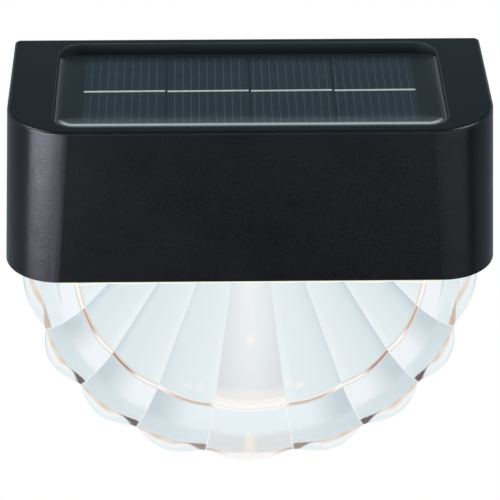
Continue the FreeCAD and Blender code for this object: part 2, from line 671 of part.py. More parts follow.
def make_battery():
    """AAA cell with its positive nub towards +X."""
    total = CELL_BODY_LENGTH + CELL_NUB_LENGTH
    along = Vector(1, 0, 0)
    body = Part.makeCylinder(CELL_R, CELL_BODY_LENGTH, Vector(-total / 2, CRADLE_Y, CRADLE_Z), along)
    nub_start = Vector(CELL_BODY_LENGTH - total / 2, CRADLE_Y, CRADLE_Z)
    return body.fuse(Part.makeCylinder(CELL_NUB_R, CELL_NUB_LENGTH, nub_start, along)).removeSplitter()


def make_contact(side):
    """Contact plate with a bump on the cell's end and a solder tab above the cradle wall."""
    half = CONTACT_WIDTH / 2
    wall = CRADLE_HALF_INSIDE
    face = wall - CONTACT_THICKNESS
    low = CRADLE_Z - CONTACT_BUMP_R
    low_y = CRADLE_Y - half
    high_y = CRADLE_Y + half
    plate = box(face, wall, low_y, high_y, low, CONTACT_TOP)
    bump_start = Vector(face - CONTACT_REACH, CRADLE_Y, CRADLE_Z)
    bump = Part.makeCylinder(CONTACT_BUMP_R, CONTACT_REACH, bump_start, Vector(1, 0, 0))
    tab = box(face, face + CONTACT_TAB, low_y, high_y, CONTACT_TOP - CONTACT_THICKNESS, CONTACT_TOP)
    contact = plate.fuse(bump).fuse(tab).removeSplitter()
    if side < 0:
        contact = contact.mirror(Vector(0, 0, 0), Vector(1, 0, 0))
    return contact


def make_contacts():
    """Both cell contacts."""
    return Part.Compound([make_contact(-1), make_contact(1)])


def make_controller_board():
    """Circuit board on the base plate's posts."""
    low_x = CONTROLLER_X - CONTROLLER_WIDTH / 2
    high_x = CONTROLLER_X + CONTROLLER_WIDTH / 2
    front = -(CONTROLLER_BACK + CONTROLLER_LENGTH)
    return box(low_x, high_x, front, -CONTROLLER_BACK, CONTROLLER_Z, CONTROLLER_TOP)


def make_chip():
    """Charge controller chip."""
    half_x = CHIP_LENGTH / 2
    half_y = CHIP_WIDTH / 2
    mid_y = -CHIP_FROM_WALL
    low_x = CONTROLLER_X - half_x
    high_x = CONTROLLER_X + half_x
    return box(low_x, high_x, mid_y - half_y, mid_y + half_y, CONTROLLER_TOP, CONTROLLER_TOP + CHIP_HEIGHT)


def make_switch():
    """Push switch under the controller board, with a bore that takes the button's stem."""
    half = SWITCH_SIDE / 2
    mid_y = -BUTTON_FROM_WALL
    low = CONTROLLER_Z - SWITCH_HEIGHT
    body = box(CONTROLLER_X - half, CONTROLLER_X + half, mid_y - half, mid_y + half, low, CONTROLLER_Z)
    return body.cut(rod(BUTTON_STEM_R + SWITCH_BORE_CLEARANCE, SWITCH_BORE_DEPTH, CONTROLLER_X, mid_y, low))


def make_button():
    """Power button: a round cap, the flange that keeps it in, and the stem that reaches the switch."""
    mid_y = -BUTTON_FROM_WALL
    cap_low = BASE_BOTTOM - COLLAR_HEIGHT - BUTTON_PROUD
    cap = rod(BUTTON_R, BASE_TOP - cap_low, CONTROLLER_X, mid_y, cap_low)
    edge = [item for item in cap.Edges if item.isClosed() and item.BoundBox.ZMax < cap_low + 0.01]
    cap = cap.makeFillet(BUTTON_PROUD / 3, edge)
    flange = rod(BUTTON_FLANGE_R, BUTTON_FLANGE_HEIGHT, CONTROLLER_X, mid_y, BASE_TOP)
    bore_top = CONTROLLER_Z - SWITCH_HEIGHT + SWITCH_BORE_DEPTH
    stem_top = bore_top - BUTTON_TRAVEL - BUTTON_CLEARANCE
    stem = rod(BUTTON_STEM_R, stem_top - BASE_TOP, CONTROLLER_X, mid_y, BASE_TOP)
    return cap.fuse(flange).fuse(stem).removeSplitter()


def make_collar():
    """Rubber collar around the button, under the base plate."""
    low = BASE_BOTTOM - COLLAR_HEIGHT
    ring = rod(COLLAR_R, COLLAR_HEIGHT, CONTROLLER_X, -BUTTON_FROM_WALL, low)
    hole_r = BUTTON_R + BUTTON_CLEARANCE + 0.1
    return ring.cut(rod(hole_r, COLLAR_HEIGHT, CONTROLLER_X, -BUTTON_FROM_WALL, low))


def make_lead(points):
    """Insulated lead along straight runs with round bends."""
    edges = []
    start = points[0]
    for before, bend, after in zip(points, points[1:], points[2:]):
        back = (before - bend).normalize()
        ahead = (after - bend).normalize()
        half_turn = math.acos(max(-1.0, min(1.0, back.dot(ahead)))) / 2
        trim = LEAD_BEND_R / math.tan(half_turn)
        enter = bend + back * trim
        leave = bend + ahead * trim
        inward = (back + ahead).normalize()
        middle = bend + inward * (LEAD_BEND_R / math.sin(half_turn) - LEAD_BEND_R)
        edges.append(Part.makeLine(start, enter))
        edges.append(Part.Arc(enter, middle, leave).toShape())
        start = leave
    edges.append(Part.makeLine(start, points[-1]))
    path = Part.Wire(edges)
    direction = (points[1] - points[0]).normalize()
    profile = Part.Wire([Part.makeCircle(LEAD_R, points[0], direction)])
    return path.makePipeShell([profile], True, False)


def make_solar_lead(back):
    """Straight lead from the panel's backing down to the controller board."""
    return rod(LEAD_R, SEAL_TOP - CONTROLLER_TOP, SOLAR_LEAD_X, -back, CONTROLLER_TOP)


def make_led_lead(back):
    """Lead from the LED board over to the controller board."""
    start = LED_BOARD_Z + BOARD_THICKNESS
    high = start + LED_LEAD_RISE
    end_x = CONTROLLER_X - CONTROLLER_WIDTH / 2 + 1.5
    points = [Vector(LED_LEAD_X, -back, start), Vector(LED_LEAD_X, -back, high)]
    return make_lead(points + [Vector(end_x, -back, high), Vector(end_x, -back, CONTROLLER_TOP)])


def make_battery_lead(side, end_back, rise):
    """Lead from a contact's solder tab over to the controller board."""
    start_x = side * (CRADLE_HALF_INSIDE - CONTACT_THICKNESS + CONTACT_TAB - LEAD_R)
    high = CONTACT_TOP + rise
    end_x = CONTROLLER_X - CONTROLLER_WIDTH / 2 + 1.5
    points = [Vector(start_x, CRADLE_Y, CONTACT_TOP), Vector(start_x, CRADLE_Y, high)]
    return make_lead(points + [Vector(end_x, -end_back, high), Vector(end_x, -end_back, CONTROLLER_TOP)])


def main():
    cells = make_cells()
    ribbons = make_ribbons()
    nodes = {
        "top_housing": make_housing(),
        "panel_seal": make_panel_seal(),
        "solar_backing": panel_layer(SEAL_TOP, BACKING_TOP),
        "solar_cells": cells,
        "cell_ribbons": ribbons,
        "solar_cover": make_solar_cover(cells, ribbons),
        "base_plate": make_base_plate(),
        "base_gasket": make_gasket(),
        "base_screws": make_base_screws(),
        "shade": make_shade(),
        "shade_screws": make_shade_screws(),
        "led_window": make_led_window(),
        "led_board": make_led_board(),
        "leds": make_leds(),
        "battery_cradle": make_cradle(),
        "battery_cell": make_battery(),
        "battery_contacts": make_contacts(),
        "controller_board": make_controller_board(),
        "controller_chip": make_chip(),
        "inductor": rod(INDUCTOR_R, INDUCTOR_HEIGHT, CONTROLLER_X, -INDUCTOR_FROM_WALL, CONTROLLER_TOP),
        "capacitor": rod(CAPACITOR_R, CAPACITOR_HEIGHT, CONTROLLER_X, -CAPACITOR_FROM_WALL, CONTROLLER_TOP),
        "switch_body": make_switch(),
        "power_button": make_button(),
        "button_collar": make_collar(),
        "solar_lead_red": make_solar_lead(SOLAR_LEADS_FROM_WALL[0]),
        "solar_lead_black": make_solar_lead(SOLAR_LEADS_FROM_WALL[1]),
        "led_lead_red": make_led_lead(LED_LEADS_FROM_WALL[0]),
        "led_lead_black": make_led_lead(LED_LEADS_FROM_WALL[1]),
        "battery_lead_red": make_battery_lead(1, BATTERY_LEAD_ENDS_FROM_WALL[0], BATTERY_LEAD_RISES[0]),
        "battery_lead_black": make_battery_lead(-1, BATTERY_LEAD_ENDS_FROM_WALL[1], BATTERY_LEAD_RISES[1]),
    }
    os.makedirs("parts", exist_ok=True)
    for name, shape in nodes.items():
        bounds = shape.optimalBoundingBox()
        print(f"{name}: valid {shape.isValid()}, solids {len(shape.Solids)}, volume {shape.Volume:.1f}, "
              f"Z {bounds.ZMin:.2f} to {bounds.ZMax:.2f}")
        shape.exportStep(f"parts/{name}.step")


main()
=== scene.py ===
import math
from collections import namedtuple

import bmesh
import bpy
from mathutils import Matrix, Vector

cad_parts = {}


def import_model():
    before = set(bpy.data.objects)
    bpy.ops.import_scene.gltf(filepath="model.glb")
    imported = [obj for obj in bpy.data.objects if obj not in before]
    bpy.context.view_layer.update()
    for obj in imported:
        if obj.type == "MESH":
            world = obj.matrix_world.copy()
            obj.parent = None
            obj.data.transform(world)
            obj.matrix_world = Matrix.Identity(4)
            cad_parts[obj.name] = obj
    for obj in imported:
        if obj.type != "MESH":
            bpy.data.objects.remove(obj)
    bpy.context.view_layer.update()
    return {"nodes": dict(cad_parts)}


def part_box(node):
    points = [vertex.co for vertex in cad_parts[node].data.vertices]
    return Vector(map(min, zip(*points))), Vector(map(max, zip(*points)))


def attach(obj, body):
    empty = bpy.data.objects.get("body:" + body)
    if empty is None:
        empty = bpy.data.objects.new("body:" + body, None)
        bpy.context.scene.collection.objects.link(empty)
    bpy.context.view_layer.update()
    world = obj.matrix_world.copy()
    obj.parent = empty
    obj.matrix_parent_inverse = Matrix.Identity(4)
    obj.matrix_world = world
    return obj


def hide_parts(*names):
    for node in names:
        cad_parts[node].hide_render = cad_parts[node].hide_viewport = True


# Looks of the solar wall light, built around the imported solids. Lengths are in metres.
# The flat back lies on the wall in the plane Y = 0, the front faces -Y, and Z is up.

MM = 0.001
WELD_DISTANCE = 0.001 * MM
CUT_TOLERANCE = 0.0001 * MM

# Camera of the photograph, without shift: 2600 pixels of focal length on a 500 pixel frame
CAMERA_PLACE = Vector((-0.012863, -0.590285, 0.306075))
CAMERA_TARGET = Vector((0.000304, -0.024, -0.027691))
CAMERA_ROLL_DEG = 0.255
CAMERA_LENS_MM = 187.2
SENSOR_MM = 36.0

# Shell shade: flutes fan out from a point near the housing's top, over a ring step, to a scalloped lip.
# A swell is the rise of a flute over its creases, as a share of its width there.
BASE_BOTTOM = -15.0 * MM
FAN_Z = 17.0 * MM
MIDDLE_FLUTE_DEG = 13.4
SIDE_FLUTE_DEG = 11.35
LAST_FLUTE_DEG = 19.2
FLUTES_EACH_SIDE = 4
SHADE_WALL = 2.0 * MM
SHADE_SHARP_DEG = 13.0
FACE_Y = -47.0 * MM
FACE_START_SHARE = 0.35
FACE_TOP_SWELL = 0.04
RING_Z = -17.0 * MM
RING_R = 42.9 * MM
RING_EDGE_WIDTH = 0.7 * MM
RING_STEP_WIDTH = 1.5 * MM
RING_STEP_DEPTH = 0.8 * MM
RING_ROUNDING = 0.8
RING_SWELL = 0.075
RING_SWELL_TURN_DEG = 40.0
RIM_Z = -24.65 * MM
RIM_R = 52.9 * MM
RIM_SETBACK = 4.8 * MM
RIM_TURN_DEG = 80.0
RIM_SWELL = 0.03
BAND_LENGTH = 16.0 * MM
BAND_SPREAD = 0.028
INNER_SWELL_SHARE = 0.45
LIP_DEPTH = 1.2 * MM
LIP_WIDTH = 2.3 * MM
LIP_SWELL = 0.175
SIDE_LIP_SWELL = 0.03

# Rows and columns of the shade's mesh, with a column close to each side of a crease
FACE_ROWS = 24
RING_ROWS = 8
BAND_ROWS = 40
LIP_ROWS = 10
FLUTE_COLUMNS = 24
CREASE_SHARE = 0.015

# Line on the face right under the housing, as the photograph's camera sees it
GLOW_LINE_TOP = -22.6 * MM
GLOW_LINE_BOTTOM = -23.35 * MM

# Flange that the shade's screws hold
FLANGE_HALF = 42.0 * MM
FLANGE_BACK = -39.2 * MM
FLANGE_THICKNESS = 3.0 * MM
FLANGE_CORNER_R = 2.3 * MM
FLANGE_CORNER_STEPS = 8
FLANGE_HOLE_R = 1.2 * MM
FLANGE_HOLE_STEPS = 24

# Colours that show through the clear plastic, by place. They are painted light, shade, highlights and
# reflections.
WHITE = Vector((1.0, 1.0, 1.0))
CLEAR = Vector((0.97, 0.98, 0.985))
MIDDLE_TINT = Vector((0.90, 0.92, 0.925))
# Painted lit and painted shaded sides of the flutes
FLUTE_PAINTED_LIGHT = Vector((0.82, 0.895, 0.915))
FLUTE_PAINTED_SHADE = Vector((0.59, 0.675, 0.72))
# Painted light and shade of the band
BAND_LIGHT = Vector((0.91, 0.95, 0.98))
BAND_BLUE = Vector((0.85, 0.925, 0.955))
BAND_GREY = Vector((0.77, 0.785, 0.78))
# Painted warm light of the LEDs, painted glow and painted highlights
CREAM = Vector((0.97, 0.88, 0.78))
WARM_WHITE = Vector((0.997, 0.948, 0.899))
GLOW = Vector((0.98, 0.95, 0.72))
PEACH = Vector((0.93, 0.76, 0.60))
# Painted shade, and painted reflection of the dark housing
RING_PAINTED_SHADE = Vector((0.32, 0.20, 0.15))
PAINTED_DARK_REFLECTION = Vector((0.14, 0.10, 0.09))

# The tints below, painted light and shade, run along a zone from the fan's inside outwards, and across a
# flute from the side that is nearer the shade's middle, both from 0 to 1. A pair is where a change starts
# and ends, and a line is a pair of its middle and its reach to each side, with a core of full strength.
LINE_CORE_SHARE = 0.25

# Tints of the face, painted light and shade. The middle flute turns warm with painted LED light and then
# white with a painted highlight close to the ring. The shades are painted shade of the side flutes, from the
# middle outwards.
MIDDLE_EDGE_SHADE = 0.4
MIDDLE_EDGE_POWER = 1.5
MIDDLE_FADE = 0.10
MIDDLE_FADE_POWER = 3
FACE_WARM = (0.90, 0.925)
FACE_WARM_SHARE = 0.45
FACE_WARMER = (0.955, 0.975)
FACE_WARMER_SHARE = 0.5
FACE_WHITE = (0.985, 1.0)
FACE_LIT_EDGE = (0.03, 0.22)
FACE_LIT_SHARE = 0.4
FLUTE_SHADES = (0.45, 0.7, 0.9, 0.6)
FLUTE_SHADE_SHARE = 0.55
FLUTE_SHADE_POWER = 1.4
CREASE_SHADE_SHARE = 0.8
CREASE_SHADE_POWER = 9

# Tints of the ring step: a painted highlight between painted warm lines of LED light, and a core of painted
# shade.
# The brown shares are those of the side flutes, from the middle outwards.
RING_MIDDLE_LINE = (0.37, 0.2)
RING_MIDDLE_WARMTH = 0.6
RING_UPPER_LINE = (0.12, 0.16)
RING_CORE_LINE = (0.42, 0.3)
RING_LOWER_LINE = (0.82, 0.18)
RING_LINE_STRENGTH = 0.8
RING_LINE_BROWN = 0.3
RING_WHITENESS = 0.6
RING_BROWN_SHARES = (0.55, 1.0, 0.65, 1.0)
RING_BROWN_START = (0.35, 0.65)
FIRST_BROWN_START = (0.0, 0.1)
FIRST_BROWN_END = (0.6, 1.0)
FIRST_UPPER_SHARE = 0.3

# Tints of the band, with a soft fold of painted shade halfway to the rim, painted light by the ring and
# a painted warm streak of LED reflection on the middle flute
BAND_FOLD = (0.4, 0.58)
BAND_DARK_PART = (0.25, 1.0)
LED_STREAK_EDGE = (0.05, 0.16)
LED_STREAK_STRENGTH = 0.8
RIM_SHADE = 0.25
RIM_SHADE_GROWTH = 0.45
END_BAND_LINE = (0.4, 0.05)
END_BAND_LINE_START = (0.1, 0.4)
END_BAND_LINE_STRENGTH = 0.6

# Tints of the lip, by depth from the edge at which its colours begin: a warm line of painted LED light,
# a painted highlight line, and wedges of painted reflection of the dark housing.
# The wedges' warmth is that of the side flutes, from the middle outwards. The lines on the last flutes
# drift away from the edge.
LIP_EDGE_SHARE = 0.035
LIP_BLUNT_SHARE = 0.14
LIP_BLUNT_PART = (0.0, 0.5)
MIDDLE_BLUNT_SHARE = LIP_BLUNT_SHARE * 0.5
MIDDLE_BLUNT_PART = (0.5, 1.0)
MIDDLE_LIP_END = (0.45, 1.0)
MIDDLE_LIP_LINE_SHARE = 0.15
MIDDLE_LIP_BROWN = 0.5
LIP_LINE = (0.45 * MM, 0.8 * MM)
LIP_LINE_BROWN = 0.2
LIP_LINE_LEAST = 0.55
LIP_LINE_WAVES = 3
LIP_LINE_WAVE_SHIFT = 0.4
LIP_HIGHLIGHT_LINE = (1.2 * MM, 0.6 * MM)
LIP_HIGHLIGHT_LINE_STRENGTH = 0.6
LIP_CLEARNESS = 0.2
LIP_DARK_EDGE = (0.6, 0.95)
LIP_DARK_EDGE_START = (0.15, 0.4)
LIP_DARK_EDGE_STRENGTH = 0.9
WEDGE_START = (0.0, 0.25 * MM)
WEDGE_LEAST_DEPTH = 0.35 * MM
WEDGE_MORE_DEPTH = 1.6 * LIP_WIDTH
WEDGE_TAPER = (0.0, 0.32)
WEDGE_END = (0.22, 0.38)
WEDGE_SOLID_SHARE = 0.7
WEDGE_WARMTH = (0.25, 0.0, 0.0, 0.62)
END_LINE_DRIFT = 3.4 * MM
END_LIP_WIDTH = 2 * LIP_WIDTH

# Light along the creases, by zone
CREASE_LIGHT = {"face": 0.0, "ring": 0.2, "band": 0.7, "lip": 0.5}
CREASE_LIGHT_WIDTH = 1.2 * CREASE_SHARE

# Warm glints of the LEDs in the clear plastic. Flutes count from the middle one, to the right;
# across runs from left to right over a flute.
Glint = namedtuple("Glint", "flute zone along across strength")
GLINTS = (
    Glint(flute=0, zone="face", along=0.612, across=0.51, strength=0.9),
    Glint(flute=0, zone="face", along=0.640, across=0.63, strength=0.6),
    Glint(flute=-1, zone="face", along=0.933, across=0.48, strength=0.6),
    Glint(flute=-1, zone="face", along=0.924, across=0.70, strength=0.6),
    Glint(flute=1, zone="face", along=0.897, across=0.08, strength=1.0),
    Glint(flute=1, zone="face", along=0.914, across=0.28, strength=1.0),
    Glint(flute=-2, zone="band", along=0.29, across=0.77, strength=0.9),
    Glint(flute=2, zone="band", along=0.27, across=0.14, strength=0.5),
)
GLINT_ALONG = 0.025
GLINT_ACROSS = 0.12
GLINT_EDGE = (0.2, 1.0)

# Printed fingers on the cells: where each cell's first one lies, and how many it has
FINGER_PITCH = 1.976 * MM
FINGER_WIDTH = 0.13 * MM
FINGER_HEIGHT = 0.02 * MM
FINGER_END_GAP = 0.4 * MM
FINGER_STARTS = (-38.4 * MM, -18.15 * MM, 1.1 * MM, 21.03 * MM)
FINGER_COUNTS = (9, 9, 10, 10)

# Recess of the panel in the housing. Its walls and floor are painted paler, as painted light in its shade.
RECESS_LOW = Vector((-47.3, -47.5, 16.0)) * MM
RECESS_HIGH = Vector((47.3, -2.2, 19.98)) * MM
RECESS_PAINTED_LIGHT = (0.020, 0.033, 0.032)
RECESS_ROUGHER = 0.5

# Clear cover of the panel, with its rounded edge
COVER_GROWTH = 0.15 * MM
COVER_SUNK = 0.05 * MM
COVER_FRONT_CORNER_R = 5.0 * MM
COVER_BACK_CORNER_R = 0.8 * MM
COVER_LEAST_CORNER_SHARE = 0.1
COVER_CORNER_STEPS = 10
COVER_EDGE_WIDTH = 3.0 * MM
COVER_EDGE_DROP = 0.9 * MM
COVER_EDGE_ROWS = 14
COVER_FLAT_ROWS = 10
COVER_SHARP_DEG = 40.0
COVER_HIGHLIGHT_WIDTH = 6.5 * MM

# How much painted highlight the cover has, by distance from its edge: a pale line on the domed edge and its
# fade.
# A turn is a pair too, of how far the edge faces forward, from -1 to 1.
COVER_CLEAR = Vector((0.90, 0.94, 0.96))
COVER_PAINTED_HIGHLIGHT = Vector((0.80, 0.95, 1.0))
COVER_DROP_TURN = (-0.9, -0.2)
COVER_FRONT_TURN = (0.1, 0.9)
COVER_BACK_TURN = (-0.5, 0.0)
FRONT_LINE = (1.3 * MM, 0.6 * MM)
FRONT_LINE_HIGHLIGHT = 0.52
FRONT_HIGHLIGHT_FADE = (1.0 * MM, COVER_HIGHLIGHT_WIDTH)
FRONT_HIGHLIGHT_FADE_STRENGTH = 0.08
SIDE_EDGE = (0.2 * MM, 0.7 * MM)
SIDE_EDGE_HIGHLIGHT = 0.2
SIDE_HIGHLIGHT_FADE = (0.0, 2.0 * MM)
SIDE_HIGHLIGHT_FADE_STRENGTH = 0.03
BACK_SHADE = (0.0, 0.8 * COVER_HIGHLIGHT_WIDTH)
BACK_SHADE_TURN = (0.2, 0.9)
BACK_SHADE_STRENGTH = 0.9

# Grain of the materials. Nearly all values of a noise lie between the low and the high one.
# The broad grain's size and the bumps' height are multiples of the fine grain's size.
NOISE_LOW = 0.25
NOISE_HIGH = 0.75
BROAD_GRAIN = 40
GRAIN_HEIGHT = 0.3

# Stage and light. The sky's colours go by the height of a direction, from -1 below to 1 above.
FLOOR_Z = -0.75
FLOOR_FRONT = -0.35
FLOOR_BACK = 8.0
FLOOR_HALF_WIDTH = 8.0
FLOOR_GRAIN = 0.5
FLOOR_DARK = (0.80, 0.81, 0.82)
FLOOR_LIGHT = (0.84, 0.85, 0.86)
SKY = (
    (-0.5, (0.012, 0.014, 0.016)),
    (-0.34, (0.045, 0.05, 0.058)),
    (-0.1, (0.34, 0.375, 0.41)),
    (0.15, (0.50, 0.58, 0.64)),
    (0.45, (0.082, 0.138, 0.165)),
    (1.0, (0.10, 0.13, 0.15)),
)
KEY_COLOUR = (0.84, 0.87, 1.0)
TOP_COLOUR = (0.92, 0.98, 1.0)
TOP_SIDEWAYS = 0.8


def new_material(name):
    """Material with a Principled shader, and its node tree."""
    material = bpy.data.materials.new(name)
    material.use_nodes = True
    return material, material.node_tree, material.node_tree.nodes["Principled BSDF"]


def feed(tree, target, value):
    """Sets a node's input to a socket, a number or a colour."""
    if isinstance(value, bpy.types.NodeSocket):
        tree.links.new(value, target)
    elif target.type == "RGBA":
        target.default_value = (*value, 1.0)
    else:
        target.default_value = value


def calculate(tree, operation, *values):
    """Result of a math node, as a socket."""
    node = tree.nodes.new("ShaderNodeMath")
    node.operation = operation
    for target, value in zip(node.inputs, values):
        feed(tree, target, value)
    return node.outputs[0]


def object_coordinates(tree, scale):
    """Object coordinates multiplied by a vector, as a socket."""
    source = tree.nodes.new("ShaderNodeTexCoord")
    scaled = tree.nodes.new("ShaderNodeVectorMath")
    scaled.operation = "MULTIPLY"
    scaled.inputs[1].default_value = scale
    tree.links.new(source.outputs["Object"], scaled.inputs[0])
    return scaled.outputs[0]


def mesh_value(tree, name, output):
    """Value or colour that is kept on the mesh, as a socket."""
    attribute = tree.nodes.new("ShaderNodeAttribute")
    attribute.attribute_name = name
    return attribute.outputs[output]


def noise(tree, size, detail=2.0, stretch=(1.0, 1.0, 1.0)):
    """Noise whose features are about size metres across, as a socket from 0 to 1."""
    texture = tree.nodes.new("ShaderNodeTexNoise")
    texture.inputs["Scale"].default_value = 1.0
    texture.inputs["Detail"].default_value = detail
    scale = [1.0 / (size * factor) for factor in stretch]
    tree.links.new(object_coordinates(tree, scale), texture.inputs["Vector"])
    return texture.outputs["Fac"]


def ramp(tree, socket, low, high):
    """Maps a noise socket to low..high."""
    mapped = tree.nodes.new("ShaderNodeMapRange")
    mapped.inputs["From Min"].default_value = NOISE_LOW
    mapped.inputs["From Max"].default_value = NOISE_HIGH
    mapped.inputs["To Min"].default_value = low
    mapped.inputs["To Max"].default_value = high
    tree.links.new(socket, mapped.inputs["Value"])
    return mapped.outputs["Result"]


def mix_colours(tree, factor, first, second):
    """Colour between first and second, each a colour or a socket, by a socket."""
    mixed = tree.nodes.new("ShaderNodeMix")
    mixed.data_type = "RGBA"
    colour_inputs = [socket for socket in mixed.inputs if socket.type == "RGBA"]
    for target, value in zip(colour_inputs, (first, second)):
        feed(tree, target, value)
    tree.links.new(factor, mixed.inputs["Factor"])
    return [socket for socket in mixed.outputs if socket.type == "RGBA"][0]


def add_bump(tree, shader, height, strength, distance):
    """Bump from a height socket."""
    bump = tree.nodes.new("ShaderNodeBump")
    bump.inputs["Strength"].default_value = strength
    bump.inputs["Distance"].default_value = distance
    tree.links.new(height, bump.inputs["Height"])
    tree.links.new(bump.outputs["Normal"], shader.inputs["Normal"])


def grained(name, dark, light, rough, grain, bump, specular=0.5, metallic=0.0, stretch=(1.0, 1.0, 1.0)):
    """Moulded or metal surface with fine grain in colour, roughness and height."""
    material, tree, shader = new_material(name)
    fine = noise(tree, grain, stretch=stretch)
    broad = noise(tree, grain * BROAD_GRAIN)
    speckle = mix_colours(tree, ramp(tree, fine, 0.0, 1.0), dark, light)
    tree.links.new(speckle, shader.inputs["Base Color"])
    tree.links.new(ramp(tree, broad, *rough), shader.inputs["Roughness"])
    shader.inputs["Specular IOR Level"].default_value = specular
    shader.inputs["Metallic"].default_value = metallic
    add_bump(tree, shader, fine, bump, grain * GRAIN_HEIGHT)
    return material


def inside_recess(tree):
    """Socket that is 1 on the walls and the floor of the panel's recess."""
    parts = tree.nodes.new("ShaderNodeSeparateXYZ")
    tree.links.new(object_coordinates(tree, (1.0, 1.0, 1.0)), parts.inputs[0])
    inside = 1.0
    for number, axis in enumerate("XYZ"):
        middle = (RECESS_LOW[number] + RECESS_HIGH[number]) / 2
        half = (RECESS_HIGH[number] - RECESS_LOW[number]) / 2
        within = calculate(tree, "COMPARE", parts.outputs[axis], middle, half)
        inside = calculate(tree, "MULTIPLY", inside, within)
    return inside


def housing_plastic():
    """Black moulded plastic with a fine speckle, duller in the panel's recess, where it is painted paler as
    painted light in its shade.
    """
    material = grained(
        "housing_black", (0.0014, 0.0015, 0.0018), (0.0086, 0.0089, 0.0100),
        rough=(0.22, 0.26), grain=0.45 * MM, bump=0.165,
    )
    tree = material.node_tree
    shader = tree.nodes["Principled BSDF"]
    inside = inside_recess(tree)
    plain = shader.inputs["Base Color"].links[0].from_socket
    tree.links.new(mix_colours(tree, inside, plain, RECESS_PAINTED_LIGHT), shader.inputs["Base Color"])
    smooth = shader.inputs["Roughness"].links[0].from_socket
    rough = calculate(tree, "MULTIPLY_ADD", inside, RECESS_ROUGHER, smooth)
    tree.links.new(rough, shader.inputs["Roughness"])
    return material


def cover_plastic():
    """Clear cast layer over the cells, glossy with faint waves, and with a pale painted highlight along its
    front edge.
    """
    material, tree, shader = new_material("cover_clear")
    tree.links.new(mesh_value(tree, "tint", "Color"), shader.inputs["Base Color"])
    clear = calculate(tree, "SUBTRACT", 1.0, mesh_value(tree, "painted_highlight", "Fac"))
    tree.links.new(clear, shader.inputs["Transmission Weight"])
    shader.inputs["IOR"].default_value = 1.45
    tree.links.new(ramp(tree, noise(tree, 5 * MM), low=0.08, high=0.14), shader.inputs["Roughness"])
    add_bump(tree, shader, noise(tree, 7 * MM, detail=1.0), strength=0.03, distance=0.5 * MM)
    return material


def shade_plastic():
    """Clear plastic of the shade, tinted by the painted light and shade kept on its mesh, with faint flow
    marks.
    """
    material, tree, shader = new_material("shade_clear")
    tree.links.new(mesh_value(tree, "tint", "Color"), shader.inputs["Base Color"])
    shader.inputs["Transmission Weight"].default_value = 1.0
    shader.inputs["Specular Tint"].default_value = (0.4, 0.4, 0.4, 1.0)
    shader.inputs["IOR"].default_value = 1.5
    tree.links.new(ramp(tree, noise(tree, 6 * MM), low=0.13, high=0.18), shader.inputs["Roughness"])
    add_bump(tree, shader, noise(tree, 9 * MM, detail=1.0), strength=0.03, distance=0.5 * MM)
    return material


def glowing(name, colour, strength):
    """Warm lit surface with a faint grain."""
    material, tree, shader = new_material(name)
    grain = noise(tree, 0.6 * MM)
    pale = mix_colours(tree, grain, (0.85, 0.80, 0.70), (0.95, 0.90, 0.80))
    tree.links.new(pale, shader.inputs["Base Color"])
    shader.inputs["Emission Color"].default_value = (*colour, 1.0)
    shader.inputs["Emission Strength"].default_value = strength
    tree.links.new(ramp(tree, grain, low=0.3, high=0.5), shader.inputs["Roughness"])
    return material


def add_object(name, builder, material):
    """Mesh object from a bmesh."""
    mesh = bpy.data.meshes.new(name)
    builder.to_mesh(mesh)
    builder.free()
    mesh.materials.append(material)
    piece = bpy.data.objects.new(name, mesh)
    bpy.context.scene.collection.objects.link(piece)
    return piece


def smooth_by_angle(builder, sharp_deg):
    """Smooth shading with sharp edges where faces meet at more than an angle."""
    for face in builder.faces:
        face.smooth = True
    for edge in builder.edges:
        edge.smooth = edge.calc_face_angle(0.0) < math.radians(sharp_deg)


def cut_level(builder, height, drop_above=False):
    """Cuts a mesh along a level plane, and drops what lies above it if asked."""
    bmesh.ops.bisect_plane(
        builder,
        geom=builder.verts[:] + builder.edges[:] + builder.faces[:],
        plane_co=(0, 0, height),
        plane_no=(0, 0, 1),
        clear_outer=drop_above,
        dist=CUT_TOLERANCE,
    )


def rise(low, high, value):
    """Smooth step from 0 at low to 1 at high."""
    share = min(max((value - low) / (high - low), 0.0), 1.0)
    return share * share * (3 - 2 * share)


def band_pass(value, middle, reach_each_way):
    """Soft bump that is 1 at the middle and 0 beyond its reach."""
    return 1 - rise(LINE_CORE_SHARE * reach_each_way, reach_each_way, abs(value - middle))


def ray_length(angle, centre_z, radius):
    """Distance from the fan point along a ray to a circle in the shade's front view."""
    gap = FAN_Z - centre_z
    return gap * math.cos(angle) + math.sqrt(radius ** 2 - (gap * math.sin(angle)) ** 2)


def crease_angles():
    """Fan angles of the creases between flutes, from left to right. The last flutes are wider."""
    right = [MIDDLE_FLUTE_DEG / 2 + number * SIDE_FLUTE_DEG for number in range(FLUTES_EACH_SIDE)]
    right.append(right[-1] + LAST_FLUTE_DEG)
    return [math.radians(angle) for angle in [-angle for angle in reversed(right)] + right]


def flute_shares():
    """Places across a flute, from 0 to 1, with one close to each crease."""
    even = [number / FLUTE_COLUMNS for number in range(1, FLUTE_COLUMNS)]
    return [0.0, CREASE_SHARE] + even + [1 - CREASE_SHARE, 1.0]


